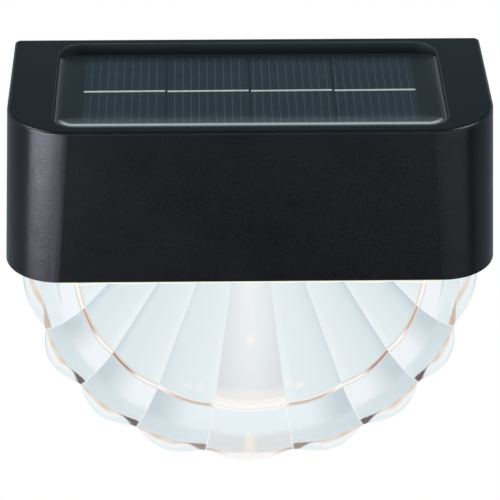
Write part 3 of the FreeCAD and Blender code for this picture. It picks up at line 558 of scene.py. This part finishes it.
class Row:
    """One line across all flutes: its zone, how far out and back it lies, and how flutes swell there."""

    def __init__(self, zone, along, setback, inner_setback, swell, swell_turn_deg):
        self.zone = zone
        self.along = along
        self.face_share = 1.0
        self.ring_shift = RING_STEP_WIDTH
        self.band_share = 0.0
        self.setback = setback
        self.inner_setback = inner_setback
        self.swell = swell
        self.side_swell = 0.0
        self.inner_swell = 0.0
        self.swell_turn = math.radians(swell_turn_deg)

    def crease(self, angle, setback):
        """Point on the crease's front-view place, this far behind the face."""
        angle *= 1 + BAND_SPREAD * self.band_share
        ring = ray_length(angle, RING_Z, RING_R)
        band = ray_length(angle, RIM_Z, RIM_R) - ring - RING_STEP_WIDTH
        out = ring * self.face_share + self.ring_shift + band * self.band_share
        return Vector((out * math.sin(angle), FACE_Y + setback, FAN_Z - out * math.cos(angle)))

    def inner_crease(self, angle):
        """Inner point of the crease, one wall thickness in. The ring step is on the outside only."""
        point = self.crease(angle, self.inner_setback)
        turn = math.radians(RIM_TURN_DEG * self.band_share)
        outwards = Vector((point.x, 0, point.z - RIM_Z)).normalized()
        return point - (outwards * math.sin(turn) - Vector((0, math.cos(turn), 0))) * SHADE_WALL

    def points(self, left, right):
        """Outer and inner points of the flute between two creases."""
        outer_left, outer_right = self.crease(left, self.setback), self.crease(right, self.setback)
        inner_left, inner_right = self.inner_crease(left), self.inner_crease(right)
        chord = outer_right - outer_left
        outwards = Vector((chord.z, 0, -chord.x)).normalized()
        swell = outwards * math.sin(self.swell_turn) - Vector((0, math.cos(self.swell_turn), 0))
        narrow = right - left < math.radians((SIDE_FLUTE_DEG + LAST_FLUTE_DEG) / 2)
        fuller = left * right > 0 and narrow
        outer_swell = self.swell + (self.side_swell if fuller else 0.0)
        outer, inner = [], []
        for share in flute_shares():
            height = 4 * share * (1 - share) * chord.length
            outer.append(outer_left.lerp(outer_right, share) + swell * (height * outer_swell))
            inner.append(inner_left.lerp(inner_right, share) + swell * (height * self.inner_swell))
        return outer, inner


def face_rows():
    """Rows from the fan's inside to the ring, closer together towards the ring."""
    for number in range(FACE_ROWS + 1):
        along = 1 - (1 - number / FACE_ROWS) ** 2
        swell = FACE_TOP_SWELL + (RING_SWELL - FACE_TOP_SWELL) * along
        row = Row("face", along, 0, 0, swell, RING_SWELL_TURN_DEG * along ** 2)
        row.face_share = FACE_START_SHARE + (1 - FACE_START_SHARE) * along
        row.ring_shift = -RING_EDGE_WIDTH * along
        yield row


def ring_rows():
    """Rows over the rounded ring step."""
    for number in range(1, RING_ROWS):
        along = number / RING_ROWS
        setback = RING_STEP_DEPTH * (1 - math.cos(math.pi / 2 * along))
        row = Row("ring", along, setback, 0, RING_SWELL, RING_SWELL_TURN_DEG)
        row.ring_shift = (RING_EDGE_WIDTH + RING_STEP_WIDTH) * along ** RING_ROUNDING - RING_EDGE_WIDTH
        yield row


def band_rows():
    """Rows from the ring step to the rim."""
    for number in range(BAND_ROWS + 1):
        along = number / BAND_ROWS
        setback = RING_STEP_DEPTH + (RIM_SETBACK - RING_STEP_DEPTH) * along ** 2
        turn_deg = RING_SWELL_TURN_DEG + (RIM_TURN_DEG - RING_SWELL_TURN_DEG) * along
        swell = RING_SWELL + (RIM_SWELL - RING_SWELL) * along ** 2
        row = Row("band", along, setback, RIM_SETBACK * along ** 2, swell, turn_deg)
        row.band_share = along
        row.inner_swell = RIM_SWELL * INNER_SWELL_SHARE * along
        yield row


def lip_rows():
    """Rows around the scalloped lip."""
    for number in range(1, LIP_ROWS + 1):
        along = number / LIP_ROWS
        turn = math.pi / 2 * along
        setback = RIM_SETBACK + LIP_DEPTH * (1 - math.cos(turn))
        swell = RIM_SWELL + (LIP_SWELL - RIM_SWELL) * math.sin(turn)
        row = Row("lip", along, setback, RIM_SETBACK, swell, RIM_TURN_DEG)
        row.band_share = 1.0
        row.side_swell = SIDE_LIP_SWELL * math.sin(turn)
        row.inner_swell = RIM_SWELL * INNER_SWELL_SHARE
        yield row


def off_centre(across):
    """How far a place on the middle flute is from its centre line, from 0 to 1."""
    return abs(2 * across - 1)


def face_painted_light(along, place, outward):
    """Painted light of the face: each flute darkens with painted shade away from the middle one, more so
    further out.
    """
    if place == 0:
        edge = MIDDLE_EDGE_SHADE * off_centre(outward) ** MIDDLE_EDGE_POWER
        tint = MIDDLE_TINT.lerp(FLUTE_PAINTED_SHADE, edge) * (1 - MIDDLE_FADE * along ** MIDDLE_FADE_POWER)
        warm = FACE_WARM_SHARE * rise(*FACE_WARM, along) + FACE_WARMER_SHARE * rise(*FACE_WARMER, along)
        return tint.lerp(WARM_WHITE, warm).lerp(WHITE, rise(*FACE_WHITE, along))
    tint = FLUTE_PAINTED_LIGHT.lerp(CLEAR, FACE_LIT_SHARE * along * (1 - rise(*FACE_LIT_EDGE, outward)))
    flute_shade = FLUTE_SHADE_SHARE * outward ** FLUTE_SHADE_POWER
    crease_shade = CREASE_SHADE_SHARE * outward ** CREASE_SHADE_POWER
    return tint.lerp(FLUTE_PAINTED_SHADE, FLUTE_SHADES[place - 1] * (flute_shade + crease_shade))


def ring_painted_light(along, place, outward):
    """Painted light of the ring step: a highlight line between two warm ones, with painted brown shade on
    part of each flute.
    """
    if place == 0:
        return WHITE.lerp(PEACH, RING_MIDDLE_WARMTH * band_pass(along, *RING_MIDDLE_LINE))
    upper, lower = band_pass(along, *RING_UPPER_LINE), band_pass(along, *RING_LOWER_LINE)
    share = rise(*RING_BROWN_START, outward)
    if place == 1:
        upper *= FIRST_UPPER_SHARE
        share = rise(*FIRST_BROWN_START, outward) * (1 - rise(*FIRST_BROWN_END, outward))
    core = band_pass(along, *RING_CORE_LINE) * share
    brown = PEACH.lerp(RING_PAINTED_SHADE, RING_BROWN_SHARES[place - 1])
    lines = PEACH.lerp(RING_PAINTED_SHADE, RING_LINE_BROWN)
    tint = CLEAR.lerp(WHITE, RING_WHITENESS)
    return tint.lerp(lines, RING_LINE_STRENGTH * (upper + lower)).lerp(brown, core)


def lip_edge(place, outward):
    """Share of the band at which the lip's colours begin: earlier at the lobe's lower end."""
    if place == 0:
        return 1 - MIDDLE_BLUNT_SHARE * rise(*MIDDLE_BLUNT_PART, off_centre(outward))
    return 1 - LIP_EDGE_SHARE - LIP_BLUNT_SHARE * (1 - rise(*LIP_BLUNT_PART, outward))


def wedge_share(depth, outward):
    """How much of the wedge of painted dark reflection at a lobe's lower end shows this far into the lip."""
    end = WEDGE_LEAST_DEPTH + WEDGE_MORE_DEPTH * (1 - rise(*WEDGE_TAPER, outward))
    shown = (1 - rise(*WEDGE_END, outward)) * rise(*WEDGE_START, depth)
    return shown * (1 - rise(WEDGE_SOLID_SHARE * end, end, depth))


def painted_lip_colour(depth, place, outward):
    """Painted light this far into the lip: a warm line, a white highlight, then pale, with a wedge of
    painted dark reflection.
    """
    drift = END_LINE_DRIFT * outward if place == FLUTES_EACH_SIDE else 0.0
    line = band_pass(depth - drift, *LIP_LINE)
    if place == 0:
        end = rise(*MIDDLE_LIP_END, off_centre(outward))
        warm = line * (MIDDLE_LIP_LINE_SHARE + (1 - MIDDLE_LIP_LINE_SHARE) * end)
        return WHITE.lerp(PEACH, warm).lerp(PEACH.lerp(PAINTED_DARK_REFLECTION, MIDDLE_LIP_BROWN), line * end)
    highlight_line = band_pass(depth - drift, *LIP_HIGHLIGHT_LINE)
    pale = FLUTE_PAINTED_LIGHT.lerp(CLEAR, LIP_CLEARNESS).lerp(WHITE, LIP_HIGHLIGHT_LINE_STRENGTH * highlight_line)
    wave = math.sin(math.pi * (LIP_LINE_WAVES * outward + LIP_LINE_WAVE_SHIFT * place)) ** 2
    line *= LIP_LINE_LEAST + (1 - LIP_LINE_LEAST) * wave
    dark = PAINTED_DARK_REFLECTION.lerp(PEACH, WEDGE_WARMTH[place - 1])
    return pale.lerp(PEACH.lerp(PAINTED_DARK_REFLECTION, LIP_LINE_BROWN), line).lerp(dark, wedge_share(depth, outward))


def band_painted_light(along, place, outward):
    """Painted light of the band: light by the ring, greyer with painted shade past a soft fold halfway to
    the rim.
    """
    edge = lip_edge(place, outward)
    if along > edge:
        return painted_lip_colour((along - edge) * BAND_LENGTH, place, outward)
    fold = rise(*BAND_FOLD, along)
    if place == 0:
        led_streak = 1 - rise(*LED_STREAK_EDGE, off_centre(outward))
        return BAND_BLUE.lerp(BAND_GREY.lerp(CREAM, LED_STREAK_STRENGTH * led_streak), fold)
    if place == FLUTES_EACH_SIDE:
        line = band_pass(along, *END_BAND_LINE) * rise(*END_BAND_LINE_START, outward)
        return BAND_LIGHT.lerp(FLUTE_PAINTED_LIGHT, fold).lerp(FLUTE_PAINTED_SHADE, END_BAND_LINE_STRENGTH * line)
    light = BAND_BLUE if place == 1 else BAND_LIGHT
    near = light.lerp(FLUTE_PAINTED_SHADE, rise(*BAND_DARK_PART, outward))
    far = FLUTE_PAINTED_LIGHT.lerp(FLUTE_PAINTED_SHADE, RIM_SHADE + RIM_SHADE_GROWTH * outward)
    return near.lerp(far, fold)


def lip_painted_light(along, place, outward):
    """Painted light of the lip, which goes on from the band's edge, with painted shade along the lobe's
    outline.
    """
    width = END_LIP_WIDTH if place == FLUTES_EACH_SIDE else LIP_WIDTH
    depth = (1 - lip_edge(place, outward)) * BAND_LENGTH + along * width
    colour = painted_lip_colour(depth, place, outward)
    if place == 0:
        return colour
    dark_edge = rise(*LIP_DARK_EDGE, along) * rise(*LIP_DARK_EDGE_START, outward)
    return colour.lerp(FLUTE_PAINTED_SHADE, LIP_DARK_EDGE_STRENGTH * dark_edge)


def glint_share(row, flute, share):
    """How much of a warm glint shows at one point of a flute."""
    shown = 0.0
    for glint in GLINTS:
        if (glint.flute, glint.zone) == (flute, row.zone):
            gap = math.hypot((row.along - glint.along) / GLINT_ALONG, (share - glint.across) / GLINT_ACROSS)
            shown = max(shown, glint.strength * (1 - rise(*GLINT_EDGE, gap)))
    return shown


PAINTED_LIGHT_BY_ZONE = {"face": face_painted_light, "ring": ring_painted_light, "band": band_painted_light, "lip": lip_painted_light}


def shade_painted_light(row, place, side, share):
    """Painted light and shade of the outer surface at one point of a flute, squared because light crosses it
    once.
    """
    outward = share if side > 0 else 1 - share
    colour = PAINTED_LIGHT_BY_ZONE[row.zone](row.along, place, outward)
    crease = 1 - rise(0.0, CREASE_LIGHT_WIDTH, min(share, 1 - share))
    colour = colour.lerp(CLEAR, CREASE_LIGHT[row.zone] * crease)
    colour = colour.lerp(WARM_WHITE, glint_share(row, place * side, share))
    return (colour.x ** 2, colour.y ** 2, colour.z ** 2, 1.0)


def add_flange(builder, screw_places, screw_y):
    """Flange behind the face: a flat plate with rounded back corners and screw holes."""
    front = FACE_Y + SHADE_WALL
    curve = bpy.data.curves.new("flange_outline", "CURVE")
    curve.dimensions = "2D"
    curve.fill_mode = "BOTH"
    curve.extrude = FLANGE_THICKNESS / 2

    def add_loop(points):
        spline = curve.splines.new("POLY")
        spline.points.add(len(points) - 1)
        spline.use_cyclic_u = True
        for target, (x, y) in zip(spline.points, points):
            target.co = (x, y, 0, 1)

    def arc(x, y, radius, start_deg, sweep_deg, steps):
        turns = [math.radians(start_deg + sweep_deg * step / steps) for step in range(steps + 1)]
        return [(x + radius * math.cos(turn), y + radius * math.sin(turn)) for turn in turns]

    corner_x = FLANGE_HALF - FLANGE_CORNER_R
    corner_y = FLANGE_BACK - FLANGE_CORNER_R
    right = arc(corner_x, corner_y, FLANGE_CORNER_R, 0, 90, FLANGE_CORNER_STEPS)
    left = arc(-corner_x, corner_y, FLANGE_CORNER_R, 90, 90, FLANGE_CORNER_STEPS)
    add_loop([(FLANGE_HALF, front)] + right + left + [(-FLANGE_HALF, front)])
    for x in screw_places:
        add_loop(arc(x, screw_y, FLANGE_HOLE_R, 0, 360, FLANGE_HOLE_STEPS)[:-1])
    outline = bpy.data.objects.new("flange_outline", curve)
    mesh = bpy.data.meshes.new_from_object(outline)
    mesh.transform(Matrix.Translation((0, 0, BASE_BOTTOM - FLANGE_THICKNESS / 2)))
    painted_light_layer = builder.loops.layers.float_color["tint"]
    known = set(builder.faces)
    builder.from_mesh(mesh)
    for face in builder.faces:
        if face not in known:
            for loop in face.loops:
                loop[painted_light_layer] = (*CLEAR, 1.0)
    bpy.data.objects.remove(outline)
    bpy.data.curves.remove(curve)
    bpy.data.meshes.remove(mesh)


def add_glow_line(builder):
    """Thin warm line across the face, where the light of the LEDs leaves the housing."""
    for height in (GLOW_LINE_TOP, GLOW_LINE_BOTTOM):
        cut_level(builder, height)
    painted_light_layer = builder.loops.layers.float_color["tint"]
    for face in builder.faces:
        middle = face.calc_center_median()
        if GLOW_LINE_BOTTOM < middle.z < GLOW_LINE_TOP and middle.y < FACE_Y + SHADE_WALL / 2:
            for loop in face.loops:
                loop[painted_light_layer] = (*GLOW, 1.0)


def add_flutes(builder):
    """All flutes as strips of faces between rows, outside and inside, with their painted light and shade."""
    painted_light_layer = builder.loops.layers.float_color.new("tint")
    rows = [*face_rows(), *ring_rows(), *band_rows(), *lip_rows()]
    angles = crease_angles()
    middle = len(angles) // 2 - 1
    clear = (*CLEAR, 1.0)

    def strip(first, second, first_tints, second_tints, flip):
        for here in range(len(first) - 1):
            there = here + 1
            corners = [first[here], first[there], second[there], second[here]]
            tints = [first_tints[here], first_tints[there], second_tints[there], second_tints[here]]
            if flip:
                corners.reverse()
                tints.reverse()
            face = builder.faces.new([builder.verts.new(corner) for corner in corners])
            for loop, tint in zip(face.loops, tints):
                loop[painted_light_layer] = tint

    for flute, (left, right) in enumerate(zip(angles, angles[1:])):
        place = abs(flute - middle)
        side = 1 if flute > middle else -1
        lines = [row.points(left, right) for row in rows]
        tints = [[shade_painted_light(row, place, side, share) for share in flute_shares()] for row in rows]
        clears = [clear] * len(flute_shares())
        for number in range(len(rows) - 1):
            outer, inner = zip(lines[number], lines[number + 1])
            strip(*outer, tints[number], tints[number + 1], True)
            if rows[number + 1].zone != "lip":
                strip(*inner, clears, clears, False)
        strip(*lines[0], clears, clears, False)
        strip(*lines[-1], clears, clears, True)
    for side, pair in ((0, angles[:2]), (-1, angles[-2:])):
        lines = [row.points(*pair) for row in rows]
        ends = [[line[layer][side] for line in lines] for layer in (0, 1)]
        clears = [clear] * len(rows)
        strip(*ends, clears, clears, side == 0)
    bmesh.ops.remove_doubles(builder, verts=builder.verts, dist=WELD_DISTANCE)


def make_shade(material):
    """Clear fluted shell with smooth flutes and sharp creases, trimmed level under the base plate."""
    builder = bmesh.new()
    add_flutes(builder)
    cut_level(builder, BASE_BOTTOM, drop_above=True)
    bmesh.ops.holes_fill(builder, edges=[edge for edge in builder.edges if edge.is_boundary])
    add_glow_line(builder)
    low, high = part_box("shade_screws")
    head_radius = (high.y - low.y) / 2
    outer_screw_x = (high.x - low.x) / 2 - head_radius
    add_flange(builder, (-outer_screw_x, 0.0, outer_screw_x), (low.y + high.y) / 2)
    bmesh.ops.recalc_face_normals(builder, faces=builder.faces)
    smooth_by_angle(builder, SHADE_SHARP_DEG)
    return add_object("clear_shade", builder, material)


def make_fingers(material):
    """Thin printed fingers on the solar cells."""
    builder = bmesh.new()
    low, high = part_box("solar_cells")
    length = high.y - low.y - 2 * FINGER_END_GAP
    size = Vector((FINGER_WIDTH, length, FINGER_HEIGHT))
    for start, count in zip(FINGER_STARTS, FINGER_COUNTS):
        for number in range(count):
            x = start + number * FINGER_PITCH
            made = bmesh.ops.create_cube(builder, size=1.0)["verts"]
            bmesh.ops.scale(builder, vec=size, verts=made)
            middle = Vector((x, (low.y + high.y) / 2, high.z + FINGER_HEIGHT / 2))
            bmesh.ops.translate(builder, vec=middle, verts=made)
    return add_object("cell_fingers", builder, material)


def cover_painted_highlight(inset, forward):
    """Painted highlight of the cover, this far in from an edge that faces forward by a share from -1 to 1.
    """
    front_line = FRONT_LINE_HIGHLIGHT * band_pass(inset, *FRONT_LINE)
    front = front_line + FRONT_HIGHLIGHT_FADE_STRENGTH * (1 - rise(*FRONT_HIGHLIGHT_FADE, inset))
    side_edge = SIDE_EDGE_HIGHLIGHT * (1 - rise(*SIDE_EDGE, inset))
    side = side_edge + SIDE_HIGHLIGHT_FADE_STRENGTH * (1 - rise(*SIDE_HIGHLIGHT_FADE, inset))
    not_behind = rise(*COVER_BACK_TURN, forward)
    return not_behind * (side + (front - side) * rise(*COVER_FRONT_TURN, forward))


def cover_tint_and_painted_light(inset, forward):
    """Colour of the cover: bluish where the highlight is painted, and dim with painted shade along the edge
    behind.
    """
    colour = COVER_CLEAR.lerp(COVER_PAINTED_HIGHLIGHT, cover_painted_highlight(inset, forward))
    shade = rise(*BACK_SHADE_TURN, -forward) * (1 - rise(*BACK_SHADE, inset))
    return (*(colour * (1 - BACK_SHADE_STRENGTH * shade)), 1.0)


def cover_outline(low, high, inset):
    """Places on the cover's outline, drawn in by inset, with how far each faces forward.

    The corners are wide in front and small behind.
    """
    points = []
    corners = (
        (high.x, high.y, COVER_BACK_CORNER_R, 0),
        (low.x, high.y, COVER_BACK_CORNER_R, 90),
        (low.x, low.y, COVER_FRONT_CORNER_R, 180),
        (high.x, low.y, COVER_FRONT_CORNER_R, 270),
    )
    middle_y = (low.y + high.y) / 2
    for x, y, corner, start_deg in corners:
        radius = max(corner - inset, corner * COVER_LEAST_CORNER_SHARE)
        centre_x = x - math.copysign(inset + radius, x)
        centre_y = y - math.copysign(inset + radius, y - middle_y)
        for step in range(COVER_CORNER_STEPS + 1):
            turn = math.radians(start_deg + 90 * step / COVER_CORNER_STEPS)
            place = (centre_x + radius * math.cos(turn), centre_y + radius * math.sin(turn))
            points.append((place, -math.sin(turn)))
    return points


def make_cover(material):
    """Clear cast cover that holds the cells, with a domed edge in front and at the sides."""
    builder = bmesh.new()
    highlight_layer = builder.verts.layers.float.new("painted_highlight")
    painted_light_layer = builder.verts.layers.float_color.new("tint")
    low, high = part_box("solar_cover")
    growth = Vector((COVER_GROWTH, 0.0, 0.0))
    low, high = low - growth, high + growth
    rings = []

    def add_ring(inset, height, drop):
        ring = []
        for (x, y), forward in cover_outline(low, high, inset):
            vertex = builder.verts.new((x, y, height - drop * rise(*COVER_DROP_TURN, forward)))
            vertex[highlight_layer] = cover_painted_highlight(inset, forward)
            vertex[painted_light_layer] = cover_tint_and_painted_light(inset, forward)
            ring.append(vertex)
        rings.append(ring)

    add_ring(0.0, low.z - COVER_SUNK, 0.0)
    for number in range(COVER_EDGE_ROWS + 1):
        turn = math.pi / 2 * number / COVER_EDGE_ROWS
        inset = COVER_EDGE_WIDTH * (1 - math.cos(turn))
        add_ring(inset, high.z, COVER_EDGE_DROP * (1 - math.sin(turn)))
    for number in range(1, COVER_FLAT_ROWS + 1):
        inset = COVER_EDGE_WIDTH + (COVER_HIGHLIGHT_WIDTH - COVER_EDGE_WIDTH) * number / COVER_FLAT_ROWS
        add_ring(inset, high.z, 0.0)
    for first, second in zip(rings, rings[1:]):
        for number in range(len(first)):
            following = (number + 1) % len(first)
            builder.faces.new([first[number], first[following], second[following], second[number]])
    builder.faces.new(rings[-1])
    builder.faces.new(list(reversed(rings[0])))
    bmesh.ops.recalc_face_normals(builder, faces=builder.faces)
    smooth_by_angle(builder, COVER_SHARP_DEG)
    return add_object("panel_cover", builder, material)


def show_white(tree, shader, white, output):
    """Puts white in place of a shader for rays from the camera or through glass."""
    path = tree.nodes.new("ShaderNodeLightPath")
    seen = calculate(tree, "MAXIMUM", path.outputs["Is Camera Ray"], path.outputs["Is Transmission Ray"])
    mixed = tree.nodes.new("ShaderNodeMixShader")
    tree.links.new(seen, mixed.inputs["Fac"])
    tree.links.new(shader.outputs[0], mixed.inputs[1])
    tree.links.new(white.outputs[0], mixed.inputs[2])
    tree.links.new(mixed.outputs[0], tree.nodes[output].inputs["Surface"])


def make_floor():
    """Pale floor below and behind the light, white where it is seen directly or through glass."""
    builder = bmesh.new()
    corners = [
        (-FLOOR_HALF_WIDTH, FLOOR_FRONT),
        (FLOOR_HALF_WIDTH, FLOOR_FRONT),
        (FLOOR_HALF_WIDTH, FLOOR_BACK),
        (-FLOOR_HALF_WIDTH, FLOOR_BACK),
    ]
    builder.faces.new([builder.verts.new((x, y, FLOOR_Z)) for x, y in corners])
    material, tree, shader = new_material("floor_pale")
    pale = mix_colours(tree, noise(tree, FLOOR_GRAIN), FLOOR_DARK, FLOOR_LIGHT)
    tree.links.new(pale, shader.inputs["Base Color"])
    shader.inputs["Roughness"].default_value = 0.8
    white = tree.nodes.new("ShaderNodeEmission")
    show_white(tree, shader, white, "Material Output")
    add_object("floor", builder, material)


def make_world():
    """White backdrop, and for lighting and gloss a studio that is bright at the horizon and dim overhead."""
    world = bpy.data.worlds.new("studio")
    bpy.context.scene.world = world
    world.use_nodes = True
    tree = world.node_tree
    direction = tree.nodes.new("ShaderNodeTexCoord")
    parts = tree.nodes.new("ShaderNodeSeparateXYZ")
    tree.links.new(direction.outputs["Generated"], parts.inputs[0])
    height = tree.nodes.new("ShaderNodeMapRange")
    height.inputs["From Min"].default_value = -1.0
    tree.links.new(parts.outputs["Z"], height.inputs["Value"])
    colours = tree.nodes.new("ShaderNodeValToRGB")
    while len(colours.color_ramp.elements) < len(SKY):
        colours.color_ramp.elements.new(0.5)
    for element, (level, colour) in zip(colours.color_ramp.elements, SKY):
        element.position = (level + 1) / 2
        element.color = (*colour, 1.0)
    tree.links.new(height.outputs["Result"], colours.inputs["Fac"])
    studio = tree.nodes["Background"]
    tree.links.new(colours.outputs["Color"], studio.inputs["Color"])
    white = tree.nodes.new("ShaderNodeBackground")
    white.inputs["Color"].default_value = (1.0, 1.0, 1.0, 1.0)
    show_white(tree, studio, white, "World Output")


def add_softbox(name, colour, place, width, height, radiance):
    """Area lamp that faces the light and shines evenly with a radiance."""
    data = bpy.data.lights.new(name, "AREA")
    data.shape = "RECTANGLE"
    data.size = width
    data.size_y = height
    data.energy = radiance * math.pi * width * height
    data.color = colour
    lamp = bpy.data.objects.new(name, data)
    lamp.location = place
    lamp.rotation_euler = (-Vector(place)).to_track_quat("-Z", "Y").to_euler()
    lamp.visible_camera = False
    bpy.context.scene.collection.objects.link(lamp)


def make_lamps():
    """Key on the left with a dimmer strip beside it, a pair above, and a faint fill on the right."""
    add_softbox("key_left", KEY_COLOUR, (-0.77, -0.72, -0.045), width=0.88, height=0.7, radiance=7.7)
    add_softbox("key_edge", KEY_COLOUR, (-0.326, -1.002, -0.16), width=0.2, height=0.7, radiance=3.1)
    for name, x in (("top_left", -TOP_SIDEWAYS), ("top_right", TOP_SIDEWAYS)):
        add_softbox(name, TOP_COLOUR, (x, -0.1, 0.9), width=0.6, height=0.6, radiance=5.0)
    add_softbox("fill_right", KEY_COLOUR, (0.58, -0.835, -0.08), width=1.04, height=0.8, radiance=0.52)


def make_camera():
    """Camera of the photograph."""
    data = bpy.data.cameras.new("camera")
    data.lens = CAMERA_LENS_MM
    data.sensor_width = SENSOR_MM
    camera = bpy.data.objects.new("camera", data)
    back = (CAMERA_PLACE - CAMERA_TARGET).normalized()
    right = Vector((0, 0, 1)).cross(back).normalized()
    up = back.cross(right)
    roll = math.radians(CAMERA_ROLL_DEG)
    turned_right = right * math.cos(roll) + up * math.sin(roll)
    turned_up = back.cross(turned_right)
    turn = Matrix((turned_right, turned_up, back)).transposed()
    camera.matrix_world = Matrix.Translation(CAMERA_PLACE) @ turn.to_4x4()
    bpy.context.scene.collection.objects.link(camera)
    bpy.context.scene.camera = camera


def dress(nodes, names, material):
    """Gives CAD nodes a material."""
    for name in names:
        slots = nodes[name].data.materials
        slots.clear()
        slots.append(material)


def dress_case(nodes):
    """Looks of the housing, the base plate, the screws, the gasket and the button."""
    steel = grained(
        "screw_steel", (0.45, 0.45, 0.45), (0.6, 0.6, 0.6),
        rough=(0.3, 0.4), grain=0.2 * MM, bump=0.1, metallic=1.0,
    )
    rubber = grained(
        "rubber_black", (0.020, 0.020, 0.020), (0.032, 0.032, 0.032),
        rough=(0.6, 0.7), grain=0.3 * MM, bump=0.2,
    )
    button = grained(
        "button_grey", (0.16, 0.16, 0.165), (0.20, 0.20, 0.205),
        rough=(0.5, 0.6), grain=0.25 * MM, bump=0.15,
    )
    dress(nodes, ["top_housing", "base_plate"], housing_plastic())
    dress(nodes, ["base_screws", "shade_screws"], steel)
    dress(nodes, ["base_gasket", "button_collar"], rubber)
    dress(nodes, ["power_button"], button)


def dress_panel(nodes):
    """Looks of the solar panel's seal, backing, cells and ribbons."""
    foam = grained(
        "foam_black", (0.010, 0.010, 0.010), (0.022, 0.022, 0.022),
        rough=(0.85, 0.95), grain=0.5 * MM, bump=0.6, specular=0.2,
    )
    backing = grained(
        "backing_black", (0.0076, 0.0124, 0.0162), (0.0108, 0.0168, 0.0212),
        rough=(0.4, 0.5), grain=0.5 * MM, bump=0.1, specular=0.2,
    )
    silicon = grained(
        "cell_blue", (0.0135, 0.0245, 0.038), (0.0195, 0.0345, 0.050),
        rough=(0.35, 0.45), grain=3 * MM, bump=0.02, specular=0.2,
    )
    tin = grained(
        "ribbon_tin", (0.74, 0.75, 0.70), (0.92, 0.93, 0.87),
        rough=(0.35, 0.5), grain=0.2 * MM, bump=0.2, metallic=0.6, stretch=(8.0, 1.0, 1.0),
    )
    dress(nodes, ["panel_seal"], foam)
    dress(nodes, ["solar_backing"], backing)
    dress(nodes, ["solar_cells"], silicon)
    dress(nodes, ["cell_ribbons"], tin)


def dress_inside(nodes):
    """Looks of the battery, the boards with their parts, and the leads."""
    plain_black = grained(
        "plain_black", (0.012, 0.012, 0.013), (0.018, 0.018, 0.019),
        rough=(0.5, 0.6), grain=0.4 * MM, bump=0.2, specular=0.3,
    )
    nickel = grained(
        "contact_nickel", (0.50, 0.48, 0.44), (0.64, 0.62, 0.58),
        rough=(0.25, 0.35), grain=0.3 * MM, bump=0.1, metallic=1.0,
    )
    green = grained(
        "board_green", (0.01, 0.09, 0.03), (0.015, 0.12, 0.04),
        rough=(0.35, 0.45), grain=0.4 * MM, bump=0.1,
    )
    white = grained(
        "board_white", (0.7, 0.7, 0.68), (0.8, 0.8, 0.78),
        rough=(0.4, 0.5), grain=0.4 * MM, bump=0.1,
    )
    red = grained(
        "lead_red", (0.4, 0.02, 0.02), (0.5, 0.03, 0.03),
        rough=(0.4, 0.5), grain=0.4 * MM, bump=0.1,
    )
    sleeve = grained(
        "cell_sleeve", (0.05, 0.25, 0.12), (0.07, 0.3, 0.15),
        rough=(0.3, 0.4), grain=0.4 * MM, bump=0.1,
    )
    grey = grained(
        "inductor_grey", (0.06, 0.06, 0.065), (0.10, 0.10, 0.105),
        rough=(0.5, 0.6), grain=0.3 * MM, bump=0.2,
    )
    can = grained(
        "capacitor_sleeve", (0.02, 0.03, 0.10), (0.03, 0.04, 0.14),
        rough=(0.3, 0.4), grain=0.4 * MM, bump=0.1,
    )
    dress(nodes, ["battery_contacts"], nickel)
    dress(nodes, ["battery_cell"], sleeve)
    dress(nodes, ["battery_cradle", "controller_chip", "switch_body"], plain_black)
    dress(nodes, ["controller_board"], green)
    dress(nodes, ["inductor"], grey)
    dress(nodes, ["capacitor"], can)
    dress(nodes, ["led_board"], white)
    dress(nodes, ["solar_lead_red", "led_lead_red", "battery_lead_red"], red)
    dress(nodes, ["solar_lead_black", "led_lead_black", "battery_lead_black"], plain_black)
    dress(nodes, ["led_window"], glowing("window_glow", (1.0, 0.80, 0.58), strength=1.3))
    dress(nodes, ["leds"], glowing("led_warm", (1.0, 0.82, 0.62), strength=8.0))


def main():
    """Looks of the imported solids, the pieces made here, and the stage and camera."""
    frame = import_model()
    bpy.context.scene.view_settings.view_transform = "Standard"
    dress_case(frame["nodes"])
    dress_panel(frame["nodes"])
    dress_inside(frame["nodes"])

    shade = make_shade(shade_plastic())
    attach(shade, "light")
    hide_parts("shade")
    cover = make_cover(cover_plastic())
    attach(cover, "light")
    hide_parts("solar_cover")
    silver = grained(
        "finger_silver", (0.08, 0.093, 0.10), (0.11, 0.125, 0.135),
        rough=(0.4, 0.5), grain=0.3 * MM, bump=0.1, specular=0.3,
    )
    fingers = make_fingers(silver)
    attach(fingers, "light")

    make_floor()
    make_world()
    make_lamps()
    make_camera()


main()
